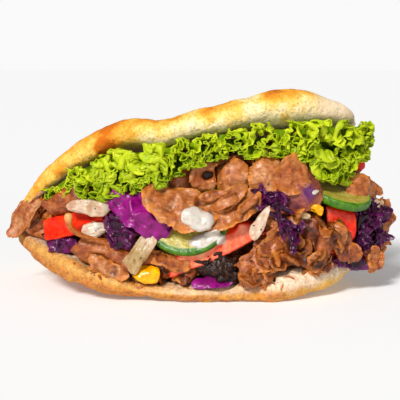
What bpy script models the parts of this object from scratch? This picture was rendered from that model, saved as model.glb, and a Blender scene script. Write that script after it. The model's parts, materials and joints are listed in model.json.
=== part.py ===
"""Doner kebab sandwich: a flatbread folded round shaved meat, lettuce and cut salad.

Run with: blender --background --python part.py
Metres, +Z up. The mouth of the bread faces -Y, its closed fold faces +Y, and it is longest along X.
The origin is on the table, under the middle of the whole sandwich. Sizes below are in millimetres.
"""

import math

import bmesh
import bpy
from mathutils import Matrix, Vector, noise
from mathutils.bvhtree import BVHTree

MM = 0.001

# Driving sizes of the bread.
BREAD_LEFT, BREAD_RIGHT = -96.0, 81.0
FOLD_RIGHT = 58.0
PLAN_CENTRE, PLAN_HALF = -3.0, 99.0
LIP_REACH_TOP, LIP_REACH_BOTTOM = 55.0, 61.0
FOLD_DEPTH, FOLD_ROUND = 26.0, 22.0
FOLD_THICK = 10.0
CRUST_BUMP = 1.4

# Heights of the bread's middle layer along X, at the two lips of the mouth and where each half meets
# the fold.
TOP_LIP = [
    (-96, 35), (-88, 45), (-78, 56.5), (-60, 71.5), (-40, 79.5), (-18, 82.5), (0, 87), (23, 92.5), (46, 95.5),
    (65, 91.5), (82, 86),
]
BOTTOM_LIP = [
    (-96, 24), (-80, 18.5), (-69, 13.7), (-49, 9), (-25, 4.8), (0, 3.8), (23, 4.2), (38, 6), (48, 7.4),
    (60, 9.4), (82, 12),
]
FOLD_TOP = [(-96, 35), (-60, 53), (-30, 61), (0, 65), (40, 70), (60, 73), (82, 76)]
FOLD_BOTTOM = [(-96, 26), (-60, 12), (-30, 4.8), (0, 4.0), (40, 4.6), (82, 14)]

# Thickness of the upper and the lower half along X.
TOP_THICK = [(-96, 8), (-60, 15), (-25, 15.5), (20, 16.5), (46, 20), (64, 12.5), (82, 4)]
BOTTOM_THICK = [(-96, 9), (-60, 10), (-30, 8.5), (10, 9), (45, 12.5), (65, 10), (82, 5)]

# Share of the way from the fold's middle to a lip where the round of the fold ends, and how far the
# dough's two layers run back from a lip to there.
FOLD_SHARE = 0.3
LAYER_REACH = 80.0
BREAD_COLUMNS, LAYER_ROWS = 7, 6

# The heap's ends along X, its cross-sections and the points round each, of which eight follow the bread.
HEAP_LEFT, HEAP_RIGHT = -80.0, 79.0
HEAP_STATIONS, HEAP_LOOP = 11, 14
HEAP_ON_BREAD = (-0.75, -0.5, -0.3, -0.12, 0.12, 0.3, 0.5, 0.75)

# Room kept between pieces. After a cut, points closer than WELD are joined, and faces that lie flatter
# to each other than FLAT_ENOUGH are one. HEAP_CLEAR is the room between the heap and the bread, and
# LETTUCE_ROOM that over the heap for the lettuce.
GAP = 0.5
WELD = 0.01
FLAT_ENOUGH = math.radians(4)
HEAP_CLEAR, LETTUCE_ROOM, HEAP_SET_BACK = 1.0, 7.0, 15.0

COLOURS = {
    "crust": (0.72, 0.46, 0.20),
    "lettuce": (0.36, 0.62, 0.05),
    "meat": (0.40, 0.19, 0.09),
    "dark_meat": (0.10, 0.05, 0.03),
    "tomato": (0.72, 0.07, 0.03),
    "cucumber": (0.55, 0.66, 0.28),
    "cabbage": (0.30, 0.03, 0.28),
    "onion": (0.82, 0.74, 0.64),
    "corn": (0.95, 0.62, 0.03),
    "carrot": (0.85, 0.40, 0.06),
}


def smooth(t):
    """0 to 1 with level ends."""
    t = max(0.0, min(1.0, t))
    return t * t * (3 - 2 * t)


def mix(a, b, t):
    return a + (b - a) * t


def height_at(knots, x):
    """The height at x of a smooth curve through the (x, height) knots."""
    x = max(knots[0][0], min(knots[-1][0], x))
    for k in range(len(knots) - 1):
        if x <= knots[k + 1][0]:
            break
    x0, z0 = knots[k]
    x1, z1 = knots[k + 1]
    before = knots[max(k - 1, 0)]
    after = knots[min(k + 2, len(knots) - 1)]
    slope0 = (z1 - before[1]) / (x1 - before[0])
    slope1 = (after[1] - z0) / (after[0] - x0)
    t, run = (x - x0) / (x1 - x0), x1 - x0
    return (
        z0 * (1 + 2 * t) * (1 - t) ** 2
        + slope0 * run * t * (1 - t) ** 2
        + z1 * t * t * (3 - 2 * t)
        - slope1 * run * t * t * (1 - t)
    )


def material(name):
    """A plain finish of this colour, made once."""
    found = bpy.data.materials.get(name)
    if found:
        return found
    made = bpy.data.materials.new(name)
    made.use_nodes = True
    surface = made.node_tree.nodes["Principled BSDF"]
    surface.inputs["Base Color"].default_value = (*COLOURS[name], 1)
    surface.inputs["Roughness"].default_value = 0.5
    surface.inputs["Metallic"].default_value = 0.0
    made.diffuse_color = (*COLOURS[name], 1)
    return made


def solid(name, finish, points, faces):
    """One closed object from points in millimetres, its faces turned outwards."""
    mesh = bpy.data.meshes.new(name)
    mesh.from_pydata([Vector(p) * MM for p in points], [], faces)
    shape = bmesh.new()
    shape.from_mesh(mesh)
    bmesh.ops.recalc_face_normals(shape, faces=shape.faces)
    if shape.calc_volume(signed=True) < 0:
        bmesh.ops.reverse_faces(shape, faces=shape.faces)
    shape.to_mesh(mesh)
    shape.free()
    mesh.materials.append(material(finish))
    made = bpy.data.objects.new(name, mesh)
    bpy.context.scene.collection.objects.link(made)
    return made


# --- The bread: one sheet of dough, folded at the back, open at the front and the right.


def plan(x):
    """1 over most of the length, falling to 0 at the bread's two ends in plan."""
    away = (x - PLAN_CENTRE) / PLAN_HALF
    return max(0.0, 1 - abs(away) ** 3)


def layer_share(q):
    """0 where the round of the fold ends, 1 at a lip."""
    return max(0.0, (abs(q) - FOLD_SHARE) / (1 - FOLD_SHARE))


def bread_line(x, q):
    """(y, z) on the middle of the dough at x.

    q runs from -1 at the lower lip, round the fold at 0, to 1 at the upper lip.
    """
    y_fold = FOLD_DEPTH * plan(x)
    low, high = height_at(FOLD_BOTTOM, x), height_at(FOLD_TOP, x)
    if abs(q) <= FOLD_SHARE:
        angle = q / FOLD_SHARE * math.pi / 2
        reach = FOLD_ROUND * (0.25 + 0.75 * plan(x))
        return y_fold + reach * math.cos(angle), mix(low, high, 0.5 + 0.5 * math.sin(angle))
    share = layer_share(q)
    upper = q > 0
    y_lip = -(LIP_REACH_TOP if upper else LIP_REACH_BOTTOM) * plan(x)
    z_lip = height_at(TOP_LIP if upper else BOTTOM_LIP, x)
    z_fold = high if upper else low
    return mix(y_fold, y_lip, share), mix(z_fold, z_lip, 0.4 * share + 0.6 * smooth(share))


def bread_normal(x, q):
    """The direction across the dough at x and q, pointing out of the sandwich, in the YZ plane."""
    step = 0.01
    y0, z0 = bread_line(x, max(-1, q - step))
    y1, z1 = bread_line(x, min(1, q + step))
    along = Vector((0, y1 - y0, z1 - z0)).normalized()
    return Vector((0, along.z, -along.y))


def bread_half_thickness(x, q):
    layer = height_at(TOP_THICK if q > 0 else BOTTOM_THICK, x)
    return 0.5 * mix(FOLD_THICK, layer, smooth(layer_share(q) * 1.6))


def make_bread():
    """Rows run round the fold from lip to lip, and each row runs along X. All four edges are rounded."""
    arm = [mix(FOLD_SHARE, 1, math.sin(math.pi / 2 * k / LAYER_ROWS)) for k in range(1, LAYER_ROWS + 1)]
    fold = [FOLD_SHARE * k / 2 for k in range(-2, 3)]
    rows = [-q for q in reversed(arm)] + fold + arm
    spread = [math.sin(math.pi / 2 * k / BREAD_COLUMNS) for k in range(-BREAD_COLUMNS, BREAD_COLUMNS + 1)]
    outer, inner, points = {}, {}, []
    for i, q in enumerate(rows):
        share = layer_share(q)
        left = BREAD_LEFT + 6 * (1 - smooth(share / 0.5))
        right = mix(FOLD_RIGHT, BREAD_RIGHT, smooth(share / 0.45)) - 5 * share**4
        for j, s in enumerate(spread):
            x = mix(left, right, 0.5 + 0.5 * s)
            y, z = bread_line(x, q)
            edge = i in (0, len(rows) - 1) or j in (0, len(spread) - 1)
            to_side = (1 - abs(s)) * (right - left) / 2
            to_lip = (1 - share) * LAYER_REACH
            half = bread_half_thickness(x, q)
            near = min(1.0, min(to_side, to_lip) / (1.1 * half))
            half *= math.sqrt(1 - (1 - near) ** 2)
            half += CRUST_BUMP * near * noise.noise(Vector((x / 26, y / 22, z / 22)))
            across = bread_normal(x, q)
            for side, grid in ((1, outer), (-1, inner)):
                if edge and side < 0:
                    grid[i, j] = outer[i, j]
                    continue
                point = Vector((x, y, z)) if edge else Vector((x, y, z)) + across * half * side
                point.z = max(point.z, 0.0)
                grid[i, j] = len(points)
                points.append(point)
    faces = []
    for grid in (outer, inner):
        for i in range(len(rows) - 1):
            for j in range(len(spread) - 1):
                faces.append((grid[i, j], grid[i, j + 1], grid[i + 1, j + 1], grid[i + 1, j]))
    return solid("bread", "crust", points, faces)


# --- The heap of shaved meat that fills the fold behind the pieces that show.


def make_meat_heap():
    """Cross-sections along X that follow the inside of the bread, closed by a lumpy front."""
    points, faces = [], []
    front_points = HEAP_LOOP - len(HEAP_ON_BREAD)
    for i in range(HEAP_STATIONS):
        along = i / (HEAP_STATIONS - 1)
        x = mix(HEAP_LEFT, HEAP_RIGHT, along)
        shrink = 0.55 + 0.45 * math.sqrt(max(0.0, 1 - (2 * along - 1) ** 8))
        y_low, _ = bread_line(x, -1)
        y_high, _ = bread_line(x, 1)
        front = 0.5 * (y_low + y_high) + HEAP_SET_BACK * plan(x) ** 0.5
        ring = []
        for q in HEAP_ON_BREAD:
            y, z = bread_line(x, q)
            room = bread_half_thickness(x, q) + CRUST_BUMP + HEAP_CLEAR
            room += LETTUCE_ROOM * smooth((q - 0.1) / 0.4)
            inward = bread_normal(x, q) * -room
            ring.append(Vector((x, max(y + inward.y, front + 3), z + inward.z)))
        top, bottom = ring[-1], ring[0]
        for k in range(1, front_points + 1):
            t = k / (front_points + 1)
            lump = 3.5 * noise.noise(Vector((x / 14, t * 4, 3.1)))
            ring.append(Vector((x, front + lump, mix(top.z, bottom.z, t))))
        middle = sum(ring, Vector()) / len(ring)
        for p in ring:
            points.append(middle + (p - middle) * shrink)
    for i in range(HEAP_STATIONS - 1):
        for k in range(HEAP_LOOP):
            a, b = i * HEAP_LOOP + k, i * HEAP_LOOP + (k + 1) % HEAP_LOOP
            faces.append((a, b, b + HEAP_LOOP, a + HEAP_LOOP))
    faces.append(tuple(range(HEAP_LOOP)))
    faces.append(tuple(range(len(points) - HEAP_LOOP, len(points))))
    return solid("meat_heap", "meat", points, faces)


# --- Slices, shreds and chips: one slab form, rounded, uneven, rippled and bent both ways.


def bent(a, b, d, size, bend):
    """A point a across, b up and d out of a flat slab, carried onto the slab bent by these angles."""
    x, y, z = a, -d, b
    for axis in (0, 1):
        angle = math.radians(bend[axis])
        if abs(angle) < 1e-3:
            continue
        radius = size[axis] / angle
        along = x if axis == 0 else z
        out = -y
        y = radius - (radius + out) * math.cos(along / radius)
        along = (radius + out) * math.sin(along / radius)
        if axis == 0:
            x = along
        else:
            z = along
    return Vector((x, y, z))


def place(local, at, turn):
    """Leans a point back by pitch, spins it by roll as the front sees it, yaws it right, moves it to at."""
    roll, pitch, yaw = (math.radians(v) for v in turn)
    leaned = Matrix.Rotation(-pitch, 3, "X") @ local
    spun = Matrix.Rotation(-roll, 3, "Y") @ leaned
    return Matrix.Rotation(yaw, 3, "Z") @ spun + Vector(at)


def sheet_faces(front, back, across, up):
    """The faces of a closed sheet with a grid of points on its front and on its back."""
    faces = []
    for i in range(across):
        for j in range(up):
            for grid in (front, back):
                faces.append((grid[i, j], grid[i + 1, j], grid[i + 1, j + 1], grid[i, j + 1]))
    border = [(i, 0) for i in range(across)] + [(across, j) for j in range(up)]
    border += [(i, up) for i in range(across, 0, -1)] + [(0, j) for j in range(up, 0, -1)]
    for k, here in enumerate(border):
        ahead = border[(k + 1) % len(border)]
        faces.append((front[here], front[ahead], back[ahead], back[here]))
    return faces


def make_slab(name, finish, at, size, turn, bend, cells=(4, 4), round_off=0.8, uneven=0.25, rim=0.5):
    """size is (width, height, thickness), and cells is how many it is divided into across and up.

    round_off 0 is a rectangle and 1 an oval, uneven is how ragged its outline is, and rim is the
    thickness left at its edge, as a share.
    """
    seed = sum(ord(c) * (k + 1) for k, c in enumerate(name)) % 97
    across, up = cells
    points, front, back = [], {}, {}
    for i in range(across + 1):
        for j in range(up + 1):
            s, t = 2 * i / across - 1, 2 * j / up - 1
            a = s * math.sqrt(1 - round_off * t * t / 2)
            b = t * math.sqrt(1 - round_off * s * s / 2)
            out = math.hypot(a, b)
            lobe = 1 + uneven * out * noise.noise(Vector((a * 1.7, b * 1.7, seed * 3.7)))
            a, b = a * lobe * size[0] / 2, b * lobe * size[1] / 2
            ripple = 0.35 * size[2] * noise.noise(Vector((a / 7, b / 7, seed * 1.3)))
            edge = i in (0, across) or j in (0, up)
            half = 0.5 * size[2] * (rim if edge else 1 - 0.25 * out)
            for side, grid in ((1, front), (-1, back)):
                local = bent(a, b, ripple + side * half, size, bend)
                grid[i, j] = len(points)
                points.append(place(local, at, turn))
    return solid(name, finish, points, sheet_faces(front, back, across, up))


# --- Tomato wedges: a slice of a round fruit, skin outside and two flat cut faces.


def make_wedge(name, finish, at, length, reach, angle, turn):
    """Two cut faces meet along a straight core. The skin between them looks to -Y before turning."""
    rings, slices = 8, 4
    points, faces = [], []
    ends = []
    for tip in (-1, 1):
        ends.append(len(points))
        points.append(place(Vector((tip * length / 2, 0, 0)), at, turn))
    rows = []
    for i in range(1, rings):
        lat = math.pi * (i / rings - 0.5)
        row = [len(points)]
        points.append(place(Vector((math.sin(lat) * length / 2, reach * 0.12, 0)), at, turn))
        for k in range(slices + 1):
            lon = math.radians(angle) * (k / slices - 0.5)
            out = reach * math.cos(lat)
            row.append(len(points))
            local = Vector((math.sin(lat) * length / 2, -out * math.cos(lon), out * math.sin(lon)))
            points.append(place(local, at, turn))
        rows.append(row)
    around = slices + 2
    for row, ahead in zip(rows, rows[1:]):
        for k in range(around):
            faces.append((row[k], row[(k + 1) % around], ahead[(k + 1) % around], ahead[k]))
    for end, row in ((ends[0], rows[0]), (ends[1], rows[-1])):
        for k in range(around):
            faces.append((end, row[k], row[(k + 1) % around]))
    return solid(name, finish, points, faces)


# --- Cucumber slices: discs with the peel on their rounded edge.


def make_disc(name, finish, at, radius, thick, turn):
    segments, edge = 22, 0.7
    rim = radius - edge
    profile = [(radius * 0.5, 0.5), (rim, 0.5), (radius, 0.22), (radius, -0.22), (rim, -0.5)]
    points = [place(Vector((0, -thick / 2, 0)), at, turn), place(Vector((0, thick / 2, 0)), at, turn)]
    faces, rings = [], []
    for out, level in profile:
        ring = []
        for k in range(segments):
            angle = 2 * math.pi * k / segments
            a, b = out * math.cos(angle), out * math.sin(angle)
            ring.append(len(points))
            points.append(place(Vector((a, -level * thick, b)), at, turn))
        rings.append(ring)
    for k in range(segments):
        n = (k + 1) % segments
        faces.append((0, rings[0][k], rings[0][n]))
        faces.append((1, rings[-1][n], rings[-1][k]))
        for low, high in zip(rings, rings[1:]):
            faces.append((low[k], high[k], high[n], low[n]))
    return solid(name, finish, points, faces)


# --- The carrot curl: a thin round strip that tapers to its tail.


def make_curl(name, finish, route, radius):
    curve = bpy.data.curves.new(name, "CURVE")
    curve.dimensions = "3D"
    curve.bevel_depth = radius * MM
    curve.bevel_resolution = 1
    curve.use_fill_caps = True
    spline = curve.splines.new("POLY")
    spline.points.add(len(route) - 1)
    for k, (point, at) in enumerate(zip(spline.points, route)):
        point.co = (*(Vector(at) * MM), 1)
        point.radius = 1 - 0.6 * (k / (len(route) - 1)) ** 2
    guide = bpy.data.objects.new(name + "_guide", curve)
    bpy.context.scene.collection.objects.link(guide)
    bpy.context.view_layer.update()
    shape = bmesh.new()
    shape.from_mesh(guide.to_mesh())
    guide.to_mesh_clear()
    bmesh.ops.remove_doubles(shape, verts=shape.verts, dist=1e-6)
    points = [v.co / MM for v in shape.verts]
    faces = [tuple(v.index for v in f.verts) for f in shape.faces]
    shape.free()
    bpy.data.objects.remove(guide)
    return solid(name, finish, points, faces)


# --- Lettuce: a frilled leaf that lies under the upper half of the bread and hangs out over its lip.

LEAF_COLUMNS, LEAF_ROWS, LEAF_THICK = 14, 4, 1.6
LEAF_FROM, LEAF_OUT = 0.76, 0.93  # where along the bread's upper half the leaf starts and leaves it
LEAF_CLEAR = CRUST_BUMP + LEAF_THICK / 2 + 0.6
LEAF_WAVE = 13.0


def under_bread(x, q):
    """A point on the leaf's middle layer where it lies under the upper half of the bread."""
    y, z = bread_line(x, q)
    return Vector((x, y, z - bread_half_thickness(x, q) - LEAF_CLEAR))


def make_leaf(name, ends, hangs, forward, ruffle):
    """ends is its (left, right) along X, and hangs how far it hangs at its left, middle and right.

    forward is how far it stands out before the bread's lip, and ruffle the depth of its frills.
    """
    seed = sum(ord(c) for c in name) % 31
    waves = round((ends[1] - ends[0]) / LEAF_WAVE)
    points, front, back = [], {}, {}

    def middle(u, v):
        x = mix(ends[0], ends[1], u)
        inside, leaving = under_bread(x, LEAF_FROM), under_bread(x, LEAF_OUT)
        left, centre, right = hangs
        hang = left * (1 - u) * (1 - 2 * u) + centre * 4 * u * (1 - u) + right * u * (2 * u - 1)
        hang *= 1 + 0.25 * noise.noise(Vector((u * 3.3, seed, 0))) - 0.3 * abs(2 * u - 1) ** 6
        brow = Vector((x, bread_line(x, 1)[0] - forward, leaving.z))
        edge = brow + Vector((0, 1, -hang))
        share = max(0.0, v - 1 / LEAF_ROWS) / (1 - 1 / LEAF_ROWS)
        path = mix(inside, leaving, min(1.0, v * LEAF_ROWS))
        if share > 0:
            path = leaving * (1 - share) ** 2 + brow * 2 * share * (1 - share) + edge * share**2
        phase = 2 * math.pi * (waves * u + 0.25 * noise.noise(Vector((u * 3, seed, 5))))
        size = ruffle * smooth(share)
        return path + Vector((0, -size * math.sin(phase), 0.4 * size * math.sin(phase)))

    for i in range(LEAF_COLUMNS + 1):
        for j in range(LEAF_ROWS + 1):
            u, v = i / LEAF_COLUMNS, j / LEAF_ROWS
            here = middle(u, v)
            along = middle(min(1, u + 0.01), v) - middle(max(0, u - 0.01), v)
            down = middle(u, min(1, v + 0.01)) - middle(u, max(0, v - 0.01))
            across = along.cross(down).normalized() * LEAF_THICK / 2
            for side, grid in ((1, front), (-1, back)):
                grid[i, j] = len(points)
                points.append(here + across * side)
    return solid(name, "lettuce", points, sheet_faces(front, back, LEAF_COLUMNS, LEAF_ROWS))


# --- Putting it together.

# Each leaf: (left, right) along X, how far it hangs at its left, middle and right, forward, ruffle.
LEAVES = {
    "lettuce_1": ((-76, -47.2), (4, 9, 20), 8, 2.4),
    "lettuce_2": ((-44.5, -20.2), (20, 16, 13), 9.5, 2.6),
    "lettuce_3": ((-17.5, 8.3), (12, 13, 11), 8.5, 2.6),
    "lettuce_4": ((11, 51.8), (13, 15, 16), 9, 2.6),
    "lettuce_5": ((54.5, 87), (20, 28, 10), 10, 2.8),
}

# Each slab: finish, at, (width, height, thickness), (roll, pitch, yaw), (bend across, bend up), and the
# rest of its form.
FRONT_SLABS = {
    "onion_4": ("onion", (28, -63, 40), (7.5, 17, 3.5), (-25, 0, 0), (40, 0), {}),
    "onion_3": ("onion", (-29, -61, 25), (9, 18, 4), (-35, 0, 0), (0, 20), {"round_off": 0.3}),
    "cabbage_1": ("cabbage", (-28, -60, 43), (32, 17, 2), (-28, 15, 0), (50, -40), {"uneven": 0.5}),
    "meat_12": ("meat", (-9, -61, 46), (36, 17, 2.6), (-18, 32, 0), (-40, 20), {"uneven": 0.4}),
    "meat_13": ("meat", (15, -60, 45), (34, 15, 2.6), (27, 30, 0), (-30, 20), {"uneven": 0.4}),
    "meat_11": ("meat", (13, -61, 51), (21, 7, 3.4), (35, 10, 0), (20, 70), {}),
    "cabbage_5": ("cabbage", (40, -61, 39), (5, 26, 2.5), (35, 0, 0), (0, 30), {"cells": (2, 6)}),
    "onion_1": ("onion", (-54, -56, 46), (20, 10, 2.5), (-5, 15, -8), (40, 30), {"round_off": 0.5}),
    "corn_1": ("corn", (-26, -57, 14.2), (13.5, 9, 8), (-5, 25, 0), (0, 0), {"cells": (4, 3)}),
    "meat_18": ("meat", (22, -60, 18), (14, 12, 3), (-50, 10, 0), (30, 20), {"uneven": 0.5}),
    "meat_04": ("meat", (-45, -56, 17), (22, 9, 3), (-22, 15, -8), (0, 20), {"uneven": 0.5}),
    "cabbage_7": ("cabbage", (5, -58, 10.5), (17, 6, 2.2), (0, 50, 0), (0, 20), {"cells": (4, 2)}),
}
STICK = {"round_off": 0.1, "uneven": 0.05, "rim": 0.95}
BACK_SLABS = {
    "cabbage_2": ("cabbage", (-39, -57, 34.5), (12, 16, 2), (15, 0, -10), (40, 20), {}),
    "onion_2": ("onion", (-51, -53, 35), (13, 8, 2.5), (10, 10, 0), (0, 50), {"cells": (4, 3)}),
    "meat_09": ("meat", (30, -57, 62), (17, 19, 2.6), (-15, 5, 8), (35, 0), {}),
    "meat_08": ("meat", (14, -55, 61), (20, 18, 2.6), (20, 8, -15), (50, 20), {}),
    "meat_10": ("meat", (43, -56, 62), (18, 17, 2.6), (35, 8, 12), (30, -20), {}),
    "cabbage_4": ("cabbage", (35, -57, 50), (19, 6, 3), (-5, 0, 0), (0, 0), {"cells": (5, 2)}),
    "meat_14": ("meat", (47, -54, 53), (20, 19, 3), (10, 5, 10), (20, 0), {}),
    "onion_5": ("onion", (50, -56, 42), (9, 8, 3), (0, 0, 0), (30, 0), {"cells": (3, 3)}),
    "corn_2": ("corn", (55, -56, 45), (7, 5.5, 4.5), (-20, 0, 10), (0, 0), {"cells": (3, 3)}),
    "meat_06": ("meat", (-12, -51, 58), (20, 13, 4), (5, 10, 0), (40, 20), {}),
    "meat_07": ("meat", (3, -50.5, 60), (21, 14, 3), (-5, 0, 0), (-130, 0), {"cells": (6, 3)}),
    "meat_03": ("meat", (-46, -54, 23), (31, 18, 4), (-20, 10, -8), (10, 150), {"cells": (5, 6)}),
    "meat_02": ("meat", (-64, -42, 48), (34, 20, 3.5), (18, 0, -20), (10, 150), {"cells": (5, 6)}),
    "meat_15": ("meat", (-15, -57, 20.5), (23, 9, 3), (-20, 30, 0), (0, 20), {}),
    "meat_16": ("meat", (-25, -53, 21), (14, 9, 4), (10, 0, 0), (20, 0), {"cells": (4, 3)}),
    "meat_17": ("meat", (-12, -53, 15.5), (21, 11, 7), (0, 5, 0), (20, 20), {"uneven": 0.5}),
    "meat_19": ("meat", (31, -57, 27), (14, 12, 3), (0, 5, 0), (20, 20), {"cells": (4, 3)}),
    "meat_20": ("meat", (33, -58, 17.5), (11, 9, 3), (10, 0, 5), (20, 0), {"cells": (3, 3)}),
    "cabbage_6": ("cabbage", (31, -54, 33), (8, 14, 3), (15, 0, 0), (0, 0), {"cells": (3, 4)}),
    "meat_21": ("meat", (39, -55.5, 33), (13, 18, 5), (25, 0, 0), (30, 10), {"uneven": 0.5}),
    "charred_meat": ("dark_meat", (9, -55, 17), (22, 13, 6), (0, 10, 0), (20, 10), {"uneven": 0.5}),
    "meat_22": ("meat", (49, -54, 21), (29, 11, 4), (-15, 22, 5), (30, 20), {"uneven": 0.4}),
    "meat_23": ("meat", (55, -51, 31), (14, 21, 7), (25, 5, 12), (30, 10), {"uneven": 0.4}),
    "meat_24": ("meat", (68, -46, 29), (12, 24, 7), (22, 5, 20), (30, 10), {"uneven": 0.4}),
    "meat_28": ("dark_meat", (30, -57, 11.5), (15, 4.5, 2.5), (-15, 20, 0), (0, 0), {"cells": (4, 2)}),
    "meat_25": ("meat", (80, -33, 52), (20, 17, 5), (-30, 15, 30), (30, 10), {}),
    "tomato_4": ("tomato", (79, -26, 63), (7, 7, 4), (45, 0, 20), (0, 0), {"cells": (3, 3)}),
    "tomato_1": ("tomato", (-61, -41.5, 36), (36, 11, 8), (16, 5, -25), (0, 0), STICK),
    "cabbage_3": ("cabbage", (-71, -40, 26.5), (15, 9, 4), (-15, 10, -30), (30, 20), {"cells": (4, 3)}),
    "meat_05": ("meat", (-85, -19, 27), (12, 9, 4), (-20, 0, -40), (20, 0), {"cells": (4, 3)}),
    "meat_01": ("meat", (-90, -18, 36.5), (27, 13, 5), (40, 5, -35), (50, 0), {}),
    "cabbage_8": ("cabbage", (84, -31, 32), (19, 27, 8), (-5, 0, 35), (40, 30), {"uneven": 0.4}),
    "cabbage_9": ("cabbage", (75, -39, 16), (22, 7, 4), (-12, 15, 20), (20, 0), {"cells": (5, 2)}),
    "meat_26": ("meat", (94.5, -20, 32), (12, 20, 5), (0, 0, 50), (30, 0), {"cells": (3, 4)}),
    "meat_27": ("meat", (85, -33, 18.5), (13, 10, 5), (10, 10, 35), (20, 0), {"cells": (4, 3)}),
}


# The carrot curl's route, from its upper end down and out to its tail.
CURL = [
    (-62.7, -58, 43), (-63, -59, 39), (-61, -59, 35.3), (-56, -59, 32.8), (-51, -58.5, 31.6), (-46, -58, 31),
]


def grown(piece, gap):
    """A helper copy of a piece with its skin moved out by the gap in millimetres."""
    made = piece.copy()
    made.data = piece.data.copy()
    made.data.update()
    normals = [v.normal.copy() for v in made.data.vertices]
    for vertex, normal in zip(made.data.vertices, normals):
        vertex.co += normal * gap * MM
    bpy.context.scene.collection.objects.link(made)
    return made


def tree_of(piece):
    shape = bmesh.new()
    shape.from_mesh(piece.data)
    found = BVHTree.FromBMesh(shape)
    shape.free()
    return found


def largest_body(shape):
    """Deletes all but the largest of the bodies in a bmesh."""
    left, bodies = set(shape.faces), []
    while left:
        body, edge = set(), [next(iter(left))]
        while edge:
            face = edge.pop()
            if face in body:
                continue
            body.add(face)
            edge += [f for e in face.edges for f in e.link_faces if f not in body]
        bodies.append(body)
        left -= body
    bodies.sort(key=lambda body: sum(f.calc_area() for f in body), reverse=True)
    spare = [f for body in bodies[1:] for f in body]
    bmesh.ops.delete(shape, geom=spare, context="FACES")


def difference(piece, cutter):
    """The piece less the cutter's room, as a mesh of one body, and whether it came out closed."""
    modifier = piece.modifiers.new("room", "BOOLEAN")
    modifier.operation = "DIFFERENCE"
    modifier.solver = "EXACT"
    modifier.use_self = True
    modifier.object = cutter
    graph = bpy.context.evaluated_depsgraph_get()
    mesh = bpy.data.meshes.new_from_object(piece.evaluated_get(graph))
    piece.modifiers.clear()
    shape = bmesh.new()
    shape.from_mesh(mesh)
    bmesh.ops.triangulate(shape, faces=shape.faces)
    bmesh.ops.remove_doubles(shape, verts=shape.verts, dist=WELD * MM)
    bmesh.ops.dissolve_degenerate(shape, edges=shape.edges, dist=WELD * MM)
    bmesh.ops.dissolve_limit(shape, angle_limit=FLAT_ENOUGH, verts=shape.verts, edges=shape.edges)
    bmesh.ops.triangulate(shape, faces=shape.faces)
    largest_body(shape)
    closed = bool(shape.faces) and all(len(e.link_faces) == 2 for e in shape.edges)
    shape.to_mesh(mesh)
    shape.free()
    return mesh, closed


def make_room(pieces):
    """Each piece gives way to those before it in the list.

    The gap widens a little where a cut leaves a pinched edge.
    """
    for k, piece in enumerate(pieces):
        for earlier in pieces[:k]:
            for gap in (GAP + wider for wider in (0, 0.07, 0.15, 0.25, 0.37, 0.5)):
                cutter = grown(earlier, gap)
                if tree_of(cutter).overlap(tree_of(piece)):
                    mesh, closed = difference(piece, cutter)
                else:
                    mesh, closed = piece.data, True
                bpy.data.objects.remove(cutter)
                if closed:
                    piece.data = mesh
                    break


def stand_on_origin(pieces):
    """Moves everything so that the origin is under the middle of the whole, at its lowest level."""
    corners = [v.co for piece in pieces for v in piece.data.vertices]
    low = Vector(min(c[axis] for c in corners) for axis in range(3))
    high = Vector(max(c[axis] for c in corners) for axis in range(3))
    shift = Vector((-(low.x + high.x) / 2, -(low.y + high.y) / 2, -low.z))
    for piece in pieces:
        piece.data.transform(Matrix.Translation(shift))


def main():
    for old in list(bpy.data.objects):
        bpy.data.objects.remove(old)
    pieces = [make_bread()]
    pieces += [make_leaf(name, *form) for name, form in LEAVES.items()]
    for name, (finish, at, size, turn, bend, form) in FRONT_SLABS.items():
        pieces.append(make_slab(name, finish, at, size, turn, bend, **form))
    pieces.append(make_curl("carrot_curl", "carrot", CURL, 1.6))
    pieces.append(make_disc("cucumber_1", "cucumber", (-5.5, -50, 40), 22, 4, (8, 30, 0)))
    pieces.append(make_disc("cucumber_2", "cucumber", (69, -34, 47.5), 18, 4.5, (-14, 74, 8)))
    pieces.append(make_wedge("tomato_2", "tomato", (9, -52, 22.5), 54, 14, 55, (25, 112, 0)))
    pieces.append(make_wedge("tomato_3", "tomato", (62.5, -41, 35), 30, 15, 60, (-83, 112, 15)))
    for name, (finish, at, size, turn, bend, form) in BACK_SLABS.items():
        pieces.append(make_slab(name, finish, at, size, turn, bend, **form))
    pieces.append(make_meat_heap())
    make_room(pieces)
    stand_on_origin(pieces)


main()
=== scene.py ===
"""Doner kebab sandwich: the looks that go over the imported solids.

It follows the sandwich as it is put together: the bread, the shaved meat, the salad, the sauce and
the crumbs, and last the table, the lights and the camera. Names that end in MM are millimetres.
"""

import json
import math

import bmesh
import bpy
import numpy as np
from mathutils import Matrix, Vector, geometry
from mathutils.bvhtree import BVHTree

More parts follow.
